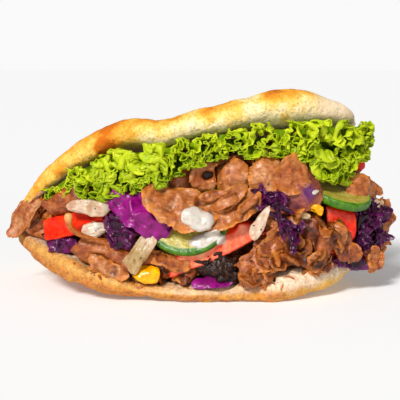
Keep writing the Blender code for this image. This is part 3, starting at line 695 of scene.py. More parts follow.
STAINED = "meat_14"  # the slice that a shred of red cabbage lies on, and where it coloured it most
STAIN_AT = np.array([50.8, -46.0, 53.0])
for number, (node, (spread, fold, curl, tears, bulge, brownness)) in enumerate(SLICES.items()):
    seed = 20 + 11 * number
    points, faces, far = slice_over(
        node, spread, fold, curl, SLICE_THICK_MM, seed,
        tears=tears, crumple_mm=0.1 + 2 * tears, bulge_mm=bulge,
    )
    from_stain = np.linalg.norm((points - STAIN_AT) * [1, 0.3, 0.8], axis=1) + lumps(points, 3, 19)
    stain = 0.8 * (1 - step_up(from_stain, 1.5, 4.5)) + 0.26 * (node == STAINED)
    marks = {"rim": far, "tone": roasting(points, far, brownness, seed + 1), "stain": stain}
    mesh = with_hollows(joined(node, [(points, faces, marks)]))
    show(node.replace("meat", "slice"), mesh, meat, "meat", node)

CURLED = "meat_07"  # the slice that one can look into, and where: along X and height
HOLE_AT = (3.2, 60.8)
HOLE_DEPTH_MM = 3.4
ROLLS = {  # thinning of the rim, tearing and waviness in mm, and how roasted
    "meat_01": (0.3, 0.4, 0.9, 0.3),
    "meat_02": (0.2, 0.3, 0.7, 0.84),
    "meat_03": (0.2, 0.3, 0.7, 0.6),
    "meat_07": (0.8, 0.8, 0.5, 0.35),
}
ROLL_CELL_MM = 0.55
for number, (node, (thinning, tearing, wave, brownness)) in enumerate(ROLLS.items()):
    mesh = torn_piece(node, ROLL_CELL_MM, thinning, tearing, wave, 220 + 11 * number, layers_mm=0.2)
    at = points_of(mesh)
    if node == CURLED:
        away = np.hypot((at[:, 0] - HOLE_AT[0]) / 1.4, at[:, 2] - HOLE_AT[1]) + 0.6 * lumps(at, 2, 18)
        hole = 1 - step_up(away, 0.9, 2.8)
        at[:, 1] += HOLE_DEPTH_MM * hole * step_up(-normals_of(mesh)[:, 1], 0.0, 0.5)
        move_points(mesh, at)
        # The hole is darkened as well: painted shade deep inside it, and no crisp rim there.
        brownness = brownness + 1.3 * hole
        rim = mesh.attributes["rim"].data
        for vertex, depth in enumerate(hole):
            rim[vertex].value *= 1 - depth
    mark(mesh, "tone", roasting(at, np.zeros(len(at)), brownness, 221 + 11 * number))
    show(node.replace("meat", "roll"), with_hollows(mesh), meat, "meat", node)


def shred(long_mm, wide_mm, thick_mm, curl, twist, seed, rows, columns, crumple_mm):
    """Points, faces and distance from the middle of one curled, crumpled shred with thin edges, along X."""
    far, turn = round_grid(rows, columns)
    reach = ragged_outline(far, turn, seed, 0.09)
    x = far * reach * np.cos(turn) * long_mm / 2
    y = far * reach * np.sin(turn) * wide_mm / 2
    z = folded(x * 1.6, y * 1.6, far, 0.55 * crumple_mm, crumple_mm, seed, 0.5 * crumple_mm)
    z += (1 - np.cos(y * curl)) / curl + (1 - np.cos(x * twist)) / twist
    x = np.sin(x * twist) / twist
    y = np.sin(y * curl) / curl
    body, faces = thin_body(np.stack([x, y, z], axis=1), far, thick_mm, rows, columns)
    return body, faces, np.concatenate([far, far])


def stood(points, at, out, along):
    """Moves points to a place, their Z along out and their X as near to along as it can be."""
    up = np.array(out) / np.linalg.norm(out)
    right = np.array(along) - up * np.dot(along, up)
    right /= np.linalg.norm(right)
    return np.array(at) + points @ np.stack([right, np.cross(up, right), up])


def one_shred(rng, long_mm, wide_mm, thick_mm, tones, cells, crumple_mm=1.1):
    """One random shred and its marks: one side of it is the roasted outside of the meat."""
    seed = int(rng.integers(1, 9999))
    points, faces, far = shred(
        rng.uniform(*long_mm),
        rng.uniform(*wide_mm),
        rng.uniform(*thick_mm),
        rng.choice([-1, 1]) * rng.uniform(0.08, 0.34),
        rng.choice([-1, 1]) * rng.uniform(0.03, 0.13),
        seed,
        *cells,
        crumple_mm,
    )
    crust = step_up(points[:, 1] / np.abs(points[:, 1]).max(), 0.2, 0.9) * rng.uniform(0.0, 0.7)
    crisp_and_glow = far * rng.uniform(0.8, 1.0)
    return points, faces, {"rim": crisp_and_glow, "tone": roasting(points, far, rng.uniform(*tones), seed) + crust}


# Where no flake may cover what lies behind: along X, height and radius in millimetres.
KEEP_CLEAR = ((71.5, 39.0, 8.0), (64.0, 20.0, 6.0), (14.0, 30.0, 9.5), (75.0, 31.0, 7.0))


def lying(degrees):
    """The direction in the plane of the front that lies so many degrees up from X."""
    return np.array([math.cos(math.radians(degrees)), 0, math.sin(math.radians(degrees))])


FLAKE_THICK_MM = (2.6, 4.4)


def flakes_on(node, count, long_mm, wide_mm, lean, tones, lie, seed):
    """Crumpled flakes that stand out of the front of a CAD solid, most of them laid along one way."""
    rng = np.random.default_rng(seed)
    solid = hit_tree(frame["nodes"][node].data)
    points, middle, _ = flat_frame(node)
    size = np.ptp(points, axis=0)
    parts = []
    while len(parts) < count:
        aim = rng.normal(0, 1, 3) * [1, 1.4, 1]
        aim[1] = -abs(aim[1])
        aim /= np.linalg.norm(aim)
        start = middle + rng.uniform(-0.42, 0.42, 3) * size
        hit, face_out = solid.ray_cast(Vector((start + aim * 60) * MM), Vector(-aim), 0.2)[:2]
        if hit is None or any(math.hypot(hit.x / MM - x, hit.z / MM - z) < r for x, z, r in KEEP_CLEAR):
            continue
        out = np.array(face_out) + rng.normal(0, lean, 3)
        points, faces, marks = one_shred(
            rng, long_mm, wide_mm, FLAKE_THICK_MM, tones, cells=(24, 16), crumple_mm=1.0
        )
        sunk = np.array(hit) / MM - np.array(face_out) * 0.7
        parts.append((stood(points, sunk, out, lying(lie) + rng.normal(0, 0.35, 3)), faces, marks))
    return parts


CHUNKS = {  # flakes on it, how long and wide in mm, how far they lean out, how roasted, and the way they lie
    "meat_16": (5, (9, 14), (5, 8), 0.4, (0.6, 1.0), 10),
    "meat_17": (10, (9, 14), (6, 9), 0.5, (1.0, 1.4), 20),
    "meat_18": (5, (12, 18), (8, 11), 0.4, (0.25, 0.75), -20),
    "meat_19": (5, (11, 16), (8, 11), 0.5, (0.3, 0.85), 30),
    "meat_20": (4, (9, 13), (7, 9), 0.5, (0.5, 0.95), -10),
    "meat_21": (5, (12, 18), (9, 12), 0.5, (0.3, 0.95), 70),
    "meat_22": (5, (14, 22), (9, 13), 0.4, (0.4, 1.05), 35),
    "meat_23": (6, (15, 22), (9, 13), 0.5, (0.45, 1.05), 105),
    "meat_24": (5, (12, 18), (8, 11), 0.4, (0.45, 1.05), 112),
    "meat_27": (5, (9, 14), (7, 9), 0.5, (0.4, 1.0), 60),
}
CHUNK_CELL_MM = 0.7
CHUNK_DEPTH_MM = 1.0  # a chunk is this much smaller than its solid, to leave room for its flakes
for number, (node, (count, long_mm, wide_mm, lean, tones, lie)) in enumerate(CHUNKS.items()):
    mesh = torn_piece(
        node, CHUNK_CELL_MM, thinning=0.3, tearing_mm=1.0, wave_mm=1.0, seed=400 + 11 * number, layers_mm=0.6
    )
    at = points_of(mesh)
    move_points(mesh, at - normals_of(mesh) * CHUNK_DEPTH_MM)
    mark(mesh, "tone", roasting(at, np.zeros(len(at)), min(tones[1], 1.0), 401 + 11 * number))
    show(node.replace("meat", "chunk"), with_hollows(mesh), meat, "meat", node)
    parts = flakes_on(node, count, long_mm, wide_mm, lean, tones, lie, 500 + number)
    show(node.replace("meat", "flakes"), with_hollows(joined(node, parts)), meat, "meat", node)

LOOSE = {  # further shreds that close the ends of the filling: the corners they lie between, and how many
    "right_end": ((76, -18, 16), (89, -2, 50), 40),
    "left_end": ((-87, -16, 29), (-72, -6, 42), 16),
    "right_low": ((62, -26, 14), (84, -16, 24), 12),
    "left_low": ((-70, -29, 20), (-52, -26, 27), 8),
}
for number, (name, (low, high, count)) in enumerate(LOOSE.items()):
    rng = np.random.default_rng(900 + number)
    parts = []
    for _ in range(count):
        points, faces, marks = one_shred(
            rng, (8, 15), (5, 9), (1.0, 2.0), tones=(0.35, 1.05), cells=(15, 10), crumple_mm=1.2
        )
        out = np.array([math.copysign(0.5, low[0]), -0.8, 0.1]) + rng.normal(0, 0.4, 3)
        parts.append((stood(points, rng.uniform(low, high), out, rng.normal(0, 1, 3)), faces, marks))
    show(name + "_shreds", joined(name, parts), meat, "meat")

STRIPS = [  # strips laid one by one: the middle, the way it lies, its length, width and thickness, how roasted
    ((-91, -13, 34), 56, 22, 9, 3.2, 0.3), ((-85, -18, 39), 60, 17, 7, 2.2, 0.25),
    ((-83, -14, 32), 30, 12, 5, 2.0, 0.7), ((13, -57, 50.5), 24, 21, 5.5, 2.0, 0.3),
    ((21, -56.5, 48), 32, 14, 5, 1.5, 0.5), ((5.5, -55.5, 52.3), 8, 14, 6, 1.5, 0.5),
    ((86, -18, 52), -30, 13, 7, 2.2, 0.5), ((92, -13, 40), -60, 14, 7, 2.2, 0.6),
    ((92, -14, 26), 60, 12, 7, 2.2, 0.6), ((88, -20, 20), 20, 12, 7, 2.0, 0.4),
]
rng = np.random.default_rng(951)
parts = []
for middle, lie, long_mm, wide_mm, thick_mm, brownness in STRIPS:
    points, faces, marks = one_shred(
        rng,
        (long_mm, long_mm + 2),
        (wide_mm, wide_mm + 1),
        (thick_mm, thick_mm),
        tones=(brownness, brownness + 0.1),
        cells=(32, 15),
        crumple_mm=0.6,
    )
    out = np.array([middle[0] / 120, -1, 0.25]) + rng.normal(0, 0.2, 3)
    parts.append((stood(points, middle, out, lying(lie)), faces, marks))
show("slice_strips", with_hollows(joined("slice_strips", parts)), meat, "meat")

# ---------------------------------------------------------------------------------------------------------
# Charred bits. Overdone outer meat that fell from the spit: nearly black, lumpy and glossy with fat. They
# lie low in the middle of the mouth, and crumpled burnt flakes stand out of the larger one.

CHARRED_CELL_MM = 0.6

charred, tree, shader = new_material("Charred meat", Roughness=0.3, Specular_IOR_Level=0.25)
burnt = uneven_surface(
    tree, Patch_Size=3.5, Speck_Size=1.0, Speck_Share=0.5, Patch_Height=0.8, Grain_Size=1.8, Grain_Height=0.5
)
black = blended(tree, burnt["Patches"], paint(8, 4, 4), paint(44, 18, 8))
black = over(tree, black, burnt["Specks"], 0.5, paint(104, 52, 20))
finish_surface(tree, shader, black, burnt["Height"])
for number, node in enumerate(("charred_meat", "meat_28")):
    mesh = torn_piece(
        node, CHARRED_CELL_MM, thinning=0.1, tearing_mm=1.0, wave_mm=1.0, seed=60 + 11 * number, layers_mm=0.5
    )
    show(node.replace("meat", "bits"), mesh, charred, "dark_meat", node)
parts = flakes_on(
    "charred_meat", 7, long_mm=(7, 11), wide_mm=(5, 8), lean=0.4, tones=(1.0, 1.3), lie=20, seed=69
)
show("charred_flakes", joined("charred_flakes", parts), charred, "dark_meat", "charred_meat")

# ---------------------------------------------------------------------------------------------------------
# Heap of meat. The filling behind what shows is a loose heap of the same shavings: a darker core, a
# little smaller than its solid, covered in curled shreds.

HEAP_CELL_MM = 2.2
CORE_DEPTH_MM = 2.2
SHRED_COUNT = 560
END_SHREDS = 170  # the right end is open, so this many of them close it
SHRED_LONG_MM = (9, 19)
SHRED_WIDE_MM = (5, 10)
SHRED_THICK_MM = (0.9, 1.8)
SHRED_SUNK_MM = 1.2

core = fine_copy("meat_heap", HEAP_CELL_MM, even_rounds=3, sharpness=0.0)
at = points_of(core)
out = normals_of(core)
at -= out * CORE_DEPTH_MM
at += out * (lumps(at, 7, 80) * 1.6 + lumps(at, 3.2, 81) * 0.8)[:, None]
move_points(core, at)
mark(core, "rim", np.full(len(at), 0.1))
mark(core, "tone", 0.8 + 0.2 * lumps(at, 6, 82))
show("heap_core", core, meat, "meat", "meat_heap")

rng = np.random.default_rng(7)
heap = hit_tree(frame["nodes"]["meat_heap"].data)
low, high = (np.array(c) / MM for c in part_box("meat_heap"))
middle = (low + high) / 2
shreds = []
while len(shreds) < SHRED_COUNT:
    aim = rng.normal(0, 1, 3)
    aim[1] = -abs(aim[1]) * 1.6
    if rng.random() < 0.3:
        aim[0] = abs(aim[0]) * 2
    aim /= np.linalg.norm(aim)
    across = rng.uniform(-1, 1) * (high[0] - low[0]) / 2 * 0.95
    start = middle + [across, 0, rng.uniform(-0.45, 0.45) * (high[2] - low[2])]
    if len(shreds) < END_SHREDS:
        aim = np.array([1.0, rng.uniform(-0.3, 0.3), rng.uniform(-0.3, 0.3)])
        start = middle + rng.uniform(-0.5, 0.5, 3) * (high - low) * [0, 1, 1]
    hit, face_out = heap.ray_cast(Vector((start + aim * 150) * MM), Vector(-aim), 0.3)[:2]
    if hit is None:
        continue
    turn = Matrix.Rotation(rng.uniform(0, 2 * math.pi), 3, "Z")
    tilt = Matrix.Rotation(rng.normal(0, 0.45), 3, "X") @ Matrix.Rotation(rng.normal(0, 0.45), 3, "Y")
    stand = face_out.to_track_quat("Z", "Y").to_matrix()
    points, faces, marks = one_shred(
        rng, SHRED_LONG_MM, SHRED_WIDE_MM, SHRED_THICK_MM, tones=(0.3, 1.0), cells=(9, 7)
    )
    place = np.array(hit) / MM - np.array(face_out) * SHRED_SUNK_MM
    shreds.append((points @ np.array(stand @ tilt @ turn).T + place, faces, marks))
show("heap_shreds", joined("heap_shreds", shreds), meat, "meat", "meat_heap")

# ---------------------------------------------------------------------------------------------------------
# Tomato. Cut pieces with a thin glossy red skin outside and paler, wet flesh on the cut faces. They are
# wedged in among the meat and the leaves, so that each shows only one or two of its faces.

TOMATO_CELL_MM = 0.6
TOMATO = {  # which way the cut flesh faces, nothing where only skin shows, and how far it swells out in mm
    "tomato_1": ((0, 0, 0), 0.0),
    "tomato_2": ((0.3, -0.6, -0.75), 4.0),
    "tomato_3": ((-0.8, -0.5, 0.2), 1.5),
    "tomato_4": ((0, 0, 0), 0.0),
}


def softened_piece(node, cell_mm, wave_mm, relief_mm, seed):
    """A cut piece's mesh from its CAD solid, slightly uneven, with its distance from the rim marked."""
    mesh = fine_copy(node, cell_mm)
    at = points_of(mesh)
    out = normals_of(mesh)
    apart = distance_from_rim(at, out, edges_of(mesh), 0.15)
    at += np.stack([lumps(at, 8, seed + k) for k in (0, 1, 2)], axis=1) * wave_mm
    at += out * (relief_mm * lumps(at, 2.5, seed + 3))[:, None]
    move_points(mesh, at)
    mark(mesh, "rim", 1 - step_up(apart, 0.2, 2.2))
    return mesh


tomato, tree, shader = new_material("Fresh tomato", Roughness=0.26, Specular_IOR_Level=0.25)
juicy = uneven_surface(tree, Patch_Size=4.0, Patch_Height=0.5, Grain_Size=1.6, Grain_Height=0.4)
skin_red = blended(tree, juicy["Patches"], paint(204, 16, 2), paint(244, 56, 6))
flesh = blended(tree, juicy["Patches"], paint(250, 104, 66), paint(255, 172, 130))
flesh = over(tree, flesh, juicy["Grain"], 0.3, paint(236, 66, 36))
flesh = over(tree, flesh, read_mark(tree, "rim"), 0.8, paint(220, 34, 14))
finish_surface(tree, shader, blended(tree, read_mark(tree, "flesh"), skin_red, flesh), juicy["Height"], 0.7)
for number, (node, (facing, swelling)) in enumerate(TOMATO.items()):
    mesh = softened_piece(node, TOMATO_CELL_MM, wave_mm=0.5, relief_mm=0.15, seed=100 + 7 * number)
    at = points_of(mesh)
    at[:, 1] -= swelling * step_up(-normals_of(mesh)[:, 1], 0.0, 0.6)
    move_points(mesh, evened(at, edges_of(mesh), 2))
    mark(mesh, "flesh", step_up(normals_of(mesh) @ np.array(facing, float), 0.35, 0.7))
    show(node + "_cut", mesh, tomato, "tomato", node)

# ---------------------------------------------------------------------------------------------------------
# Cucumber. Discs with dark green peel, a paler ring under it and wet, seedy flesh in the middle. They are
# tucked under the meat with their faces tilted up, and the seeds stand a little proud of the cut face.

CUCUMBER_CELL_MM = 0.55
SEEDS_ROUND = 24
CUCUMBERS = {  # how much more peel shows on the low side, and how far the filling under it pushes it, in mm
    "cucumber_1": (0.07, (-1.0, 0, 2.4)),
    "cucumber_2": (0.0, (-2.0, 0, 3.0)),
}

cucumber, tree, shader = new_material("Cucumber", Roughness=0.3, Specular_IOR_Level=0.35)
wet = uneven_surface(tree, Patch_Size=3.0, Patch_Height=0.4, Grain_Height=0.35)
flesh = blended(tree, wet["Patches"], paint(158, 138, 40), paint(186, 172, 78))
flesh = blended(tree, read_mark(tree, "ring"), flesh, paint(150, 164, 44))
flesh = blended(tree, read_mark(tree, "seed"), flesh, paint(186, 172, 98))
peel = blended(tree, wet["Patches"], paint(40, 92, 6), paint(92, 142, 22))
peel = over(tree, peel, wet["Grain"], 0.35, paint(24, 62, 6))
finish_surface(tree, shader, blended(tree, read_mark(tree, "peel"), flesh, peel), wet["Height"], 0.6)


def disc_frame(points):
    """A disc's middle, the direction it faces and the two directions across it."""
    middle = points.mean(0)
    _, _, ways = np.linalg.svd(points - middle, full_matrices=False)
    return middle, ways[2], ways[0], ways[1]


for number, (node, (lower_peel, pushed)) in enumerate(CUCUMBERS.items()):
    mesh = fine_copy(node, CUCUMBER_CELL_MM, even_rounds=1)
    at = points_of(mesh) + pushed
    out = normals_of(mesh)
    middle, axis, right, up = disc_frame(at)
    across = np.stack([(at - middle) @ right, (at - middle) @ up], axis=1)
    far = np.linalg.norm(across, axis=1)
    radius = np.percentile(far, 99)
    turn = np.arctan2(across[:, 1], across[:, 0])
    face = step_up(np.abs(out @ axis), 0.45, 0.8)
    upwards = np.array([right[2], up[2]]) / math.hypot(right[2], up[2])
    peel_far = np.linalg.norm(across - lower_peel * radius * upwards, axis=1)
    lobe = np.cos(3 * turn)
    seed_ring = np.exp(-(((far / radius - 0.42 - 0.06 * lobe) / 0.13) ** 2))
    seeds = step_up(np.cos(turn * SEEDS_ROUND + 3 * lumps(at, 6, 120)) * seed_ring, 0.45, 0.8)
    at += out * (face * (0.35 * seeds - 0.25 * seed_ring) + 0.12 * lumps(at, 3, 121 + number))[:, None]
    move_points(mesh, at)
    mark(mesh, "peel", 1 - face * step_up(-peel_far / radius, -0.94, -0.91))
    mark(mesh, "ring", face * step_up(far / radius, 0.82, 0.94))
    mark(mesh, "seed", seeds * face)
    show(node + "_cut", mesh, cucumber, "cucumber", node)

# ---------------------------------------------------------------------------------------------------------
# Red cabbage. One satiny magenta bit of leaf and crinkled dark violet shreds, wet and tangled, that turn
# magenta where they are thin.

CABBAGE_LEAVES = {  # spread past the solid, folding and rim curl in mm, and how dark (0 magenta, 1 violet)
    "cabbage_1": (1.1, 2.0, 2.4, 0.0),
    "cabbage_7": (1.15, 0.6, 0.8, 0.15),
    "cabbage_9": (1.05, 2.0, 2.4, 0.85),
    "cabbage_2": (1.2, 2.6, 3.0, 0.75),
    "cabbage_3": (1.2, 1.4, 2.4, 0.6),
    "cabbage_8": (0.95, 3.0, 3.0, 0.95),
}
CABBAGE_THICK_MM = 1.0
CABBAGE_TANGLES = {  # ribbons in it, how long and how wide in mm
    "cabbage_2": (6, (6, 10), (2, 4)),
    "cabbage_3": (5, (5, 9), (2, 4)),
    "cabbage_4": (11, (9, 15), (2.8, 4.6)),
    "cabbage_5": (8, (13, 21), (2.8, 4.4)),
    "cabbage_6": (10, (7, 12), (3, 5)),
    "cabbage_8": (30, (8, 13), (4, 7)),
}
RIBBON_THICK_MM = 0.7
TANGLE_CELL_MM = 0.7
TANGLE_CORE_DEPTH_MM = 1.4  # the core is this much smaller than its solid, to leave room for its ribbons

cabbage, tree, shader = new_material("Red cabbage", Roughness=0.3, Specular_IOR_Level=0.35)
leafy = uneven_surface(
    tree, Patch_Size=4.0, Patch_Height=0.5, Grain_Size=1.3, Grain_Height=0.35, Stretch=(1.0, 1.0, 0.35)
)
magenta = blended(tree, leafy["Patches"], paint(116, 2, 88), paint(160, 14, 130))
violet = blended(tree, leafy["Patches"], paint(16, 2, 11), paint(56, 11, 44))
purple = blended(tree, read_mark(tree, "tone"), magenta, violet)
# Creases darkened nearly to black: painted shade.
purple = over(tree, purple, read_mark(tree, "hollow"), 0.7, paint(10, 1, 8))
purple = over(tree, purple, from_to(tree, read_mark(tree, "rim"), 0.7, 1.0), 0.3, paint(136, 40, 124))
finish_surface(tree, shader, purple, leafy["Height"], 0.8)
for number, (node, (spread, fold, curl, dark)) in enumerate(CABBAGE_LEAVES.items()):
    points, faces, far = slice_over(
        node, spread, fold, curl, CABBAGE_THICK_MM, 130 + 8 * number, step_mm=0.45
    )
    marks = {"rim": far, "tone": dark + 0.35 * step_up(lumps(points, 6, 131 + number), 0.0, 0.8)}
    mesh = with_hollows(joined(node, [(points, faces, marks)]))
    show(node + "_leaf", mesh, cabbage, "cabbage", node)
for number, (node, (count, long_mm, wide_mm)) in enumerate(CABBAGE_TANGLES.items()):
    rng = np.random.default_rng(160 + number)
    core = torn_piece(
        node, TANGLE_CELL_MM, thinning=0.4, tearing_mm=0.6, wave_mm=0.8, seed=170 + 8 * number
    )
    at = points_of(core)
    move_points(core, at - normals_of(core) * TANGLE_CORE_DEPTH_MM)
    mark(core, "tone", np.full(len(at), 1.0))
    show(node + "_core", core, cabbage, "cabbage", node)
    points, middle, ways = flat_frame(node)
    size = np.ptp((points - middle) @ ways.T, axis=0)
    parts = []
    for _ in range(count):
        ribbon, faces, far = shred(
            rng.uniform(*long_mm),
            rng.uniform(*wide_mm),
            RIBBON_THICK_MM,
            rng.choice([-1, 1]) * rng.uniform(0.1, 0.5),
            rng.choice([-1, 1]) * rng.uniform(0.04, 0.2),
            int(rng.integers(1, 9999)),
            rows=24,
            columns=11,
            crumple_mm=1.5,
        )
        place = middle + (rng.uniform(-0.36, 0.36, 3) * size * [1, 1, 0.6]) @ ways + ways[2] * size[2] * 0.3
        out = ways[2] + rng.normal(0, 0.45, 3)
        way = ways[0] + rng.normal(0, 0.4, 3)
        marks = {"rim": far, "tone": np.full(len(far), rng.uniform(0.75, 1.0))}
        parts.append((stood(ribbon, place, out, way), faces, marks))
    show(node + "_ribbons", with_hollows(joined(node, parts)), cabbage, "cabbage", node)

# ---------------------------------------------------------------------------------------------------------
# Onion. Slivers of raw onion, whitish and slightly see-through, with fine lines along them. Each is a thin
# sheet like a slice of meat, made narrower towards one of its ends, and they lie loose on the filling.

ONION = {  # spread past the solid, folding and rim curl in mm, tint (0 white, 1 olive), narrower at one end
    "onion_1": (1.02, 0.6, 1.2, 0.3, -0.5),
    "onion_2": (1.04, 0.6, 1.2, 0.1, 0.3),
    "onion_3": (1.04, 0.7, 1.4, 1.0, 0.2),
    "onion_4": (1.04, 0.4, 0.9, 0.1, 0.7),
    "onion_5": (0.55, 0.4, 0.6, 0.8, 0.4),
}
ONION_THICK_MM = 1.4
LINE_MM = 1.9  # from one fine line along a sliver to the next
END_BIT_AT = (88.5, -16.0, 43.5)  # one more bit lies on the cabbage at the right end

onion, tree, shader = new_material(
    "Raw onion", Roughness=0.28, Specular_IOR_Level=0.4, Subsurface_Weight=0.3, Subsurface_Scale=0.004
)
lined = uneven_surface(
    tree, Patch_Size=4.0, Patch_Height=0.4, Grain_Size=1.0, Grain_Height=0.5, Stretch=(0.3, 1.0, 0.7)
)
white = blended(tree, lined["Patches"], paint(196, 152, 120), paint(240, 226, 208))
olive = blended(tree, lined["Patches"], paint(138, 102, 50), paint(194, 168, 114))
tint = blended(tree, read_mark(tree, "tone"), white, olive)
tint = over(tree, tint, from_to(tree, read_mark(tree, "rim"), 0.75, 1.0), 0.5, paint(190, 132, 92))
tint = over(tree, tint, read_mark(tree, "line"), 0.22, paint(158, 118, 88))
relief = sum_of(tree, lined["Height"], sum_of(tree, read_mark(tree, "line"), 0.2, "MULTIPLY"), "SUBTRACT")
finish_surface(tree, shader, tint, relief, 0.8)
for number, (node, (spread, fold, curl, tinted, narrow)) in enumerate(ONION.items()):
    points, faces, far = slice_over(
        node, spread, fold, curl, ONION_THICK_MM, 220 + 6 * number, step_mm=0.35, tears=0.06, crumple_mm=0.25
    )
    _, middle, ways = flat_frame(node)
    along = (points - middle) @ ways[0]
    part = 0.5 + 0.5 * np.sign(narrow) * along / np.abs(along).max()
    points -= (abs(narrow) * part * ((points - middle) @ ways[1]))[:, None] * ways[1]
    across = (points - middle) @ ways[1] + 0.9 * lumps(points, 6, 240 + number)
    marks = {
        "rim": far,
        "tone": tinted * (1 - 0.75 * step_up(part, 0.45, 1.0)),
        "line": 0.5 + 0.5 * np.cos(across * 2 * np.pi / LINE_MM),
    }
    show(node + "_sliver", joined(node, [(points, faces, marks)]), onion, "onion", node)
points, faces, far = shred(
    8, 5, 1.6, curl=0.1, twist=0.05, seed=251, rows=20, columns=14, crumple_mm=0.4
)
points = stood(points, END_BIT_AT, (0.4, -1, 0.3), (1, 0, -0.3))
marks = {"rim": far, "tone": np.full(len(far), 0.4), "line": np.full(len(far), 0.5)}
show("onion_end_bit", joined("onion_end_bit", [(points, faces, marks)]), onion, "onion")

# ---------------------------------------------------------------------------------------------------------
# Sweetcorn. Two boiled kernels, plump and glossy, that rest where they fell between the pieces. They keep
# their solids' form, with softened edges and a slightly uneven skin.

CORN_CELL_MM = 0.55

corn, tree, shader = new_material(
    "Sweetcorn", Roughness=0.22, Specular_IOR_Level=0.35, Subsurface_Weight=0.2, Subsurface_Scale=0.003
)
plump = uneven_surface(tree, Patch_Size=4.0, Patch_Height=0.5, Grain_Size=1.5, Grain_Height=0.2)
yellow = blended(tree, plump["Patches"], paint(234, 140, 0), paint(252, 188, 6))
finish_surface(tree, shader, yellow, plump["Height"], 0.6)
for number, node in enumerate(("corn_1", "corn_2")):
    mesh = softened_piece(node, CORN_CELL_MM, wave_mm=0.3, relief_mm=0.15, seed=260 + 5 * number)
    show(node + "_kernel", mesh, corn, "corn", node)

# ---------------------------------------------------------------------------------------------------------
# Carrot. One curled shaving, amber and slightly see-through, that hangs over the tomato at the left. It
# is plumper and paler at its upper end, and runs out thin at the other.

CARROT_CELL_MM = 0.5

carrot, tree, shader = new_material(
    "Carrot shaving", Roughness=0.25, Specular_IOR_Level=0.4, Subsurface_Weight=0.15, Subsurface_Scale=0.003
)
shaved = uneven_surface(tree, Patch_Size=3.0, Grain_Height=0.4)
amber = blended(tree, shaved["Patches"], paint(140, 66, 8), paint(192, 108, 26))
amber = blended(tree, read_mark(tree, "pale"), amber, paint(216, 154, 88))
finish_surface(tree, shader, amber, shaved["Height"], 0.6)
mesh = softened_piece("carrot_curl", CARROT_CELL_MM, wave_mm=0.3, relief_mm=0.15, seed=280)
at = points_of(mesh)
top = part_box("carrot_curl")[1].z / MM
plump_end = step_up(at[:, 2], top - 5, top - 1)
tail = step_up(at[:, 0], -58, -47)
at += normals_of(mesh) * (0.2 + 0.6 * plump_end - 0.7 * tail)[:, None]
move_points(mesh, evened(at, edges_of(mesh), 2))
mark(mesh, "pale", step_up(points_of(mesh)[:, 2], top - 5.5, top - 1.5))
show("carrot_shaving", mesh, carrot, "carrot", "carrot_curl")

# ---------------------------------------------------------------------------------------------------------
# Lettuce. Frilly leaves that push out from under the upper bread along the whole mouth. A leaf grows
# more at its margin than at its root, so it is made here in the same way: a flat sheet whose margin is
# made too long for it is let go until its own stretch and stiffness have thrown it into frills.

LEAF_COLUMNS = 270
LEAF_ROWS = 24
LEAF_ROUNDS = 300
LEAF_THICK_MM = 0.26
LEAF_KEPT_FACES = 0.42  # share of the sheet's faces that its frills need
LEAF_LONG_MM = 15.0
LEAF_FRONT_MM = 9.0  # how far a frill may stand out past the lip of the bread
FRILL_WAVE_MM = 13.0
FINE_GROWTH = 1.7  # how much the outermost margin grows besides, into fine frills
FLOPPY_FROM = 0.62  # the thin margin, from this share of the leaf's length on, has hardly any stiffness
LEAF_LAYERS = {  # share of the drop at which it roots, its length, its lean down and growth at its margin
    "low": (0.52, 0.7, 0.35, 1.9),
    "middle": (0.26, 0.75, 0.25, 2.0),
    "high": (0.0, 0.8, 0.0, 2.0),
}
END_LAYERS = {  # two more layers behind, for the last leaf, which is seen from its end too
    "inner": (0.2, 1.1, 0.7, 1.2),
    "back": (0.05, 1.0, 0.9, 0.9),
}
END_LAYERS_BACK_MM = 5.0
LIFTED_MM = 4.0  # the filling holds the leaves up in the middle
END_LIFTED_MM = 8.0  # and at the right end


def push(first, second, rest, part, only_apart=False):
    """Moves two rows of points part of the way to the distance that they should keep."""
    way = second - first
    far = np.linalg.norm(way, axis=-1) + 1e-9
    wrong = far - rest
    if only_apart:
        wrong = np.minimum(wrong, 0)
    shift = (wrong / far * part)[..., None] * way
    first += shift
    second -= shift


def keep_lengths(sheet, rest, part, span=1, keep=1.0):
    """Draws points that lie span apart along the sheet's first axis towards their distance."""
    wanted = sum(rest[k : len(rest) - span + 1 + k] for k in range(span)) * keep
    step = max(span, 2)
    for start in range(step):
        ends = np.arange(start, len(sheet) - span, step)
        first = sheet[ends]
        second = sheet[ends + span]
        push(first, second, wanted[ends], part, only_apart=span > 1)
        sheet[ends] = first
        sheet[ends + span] = second


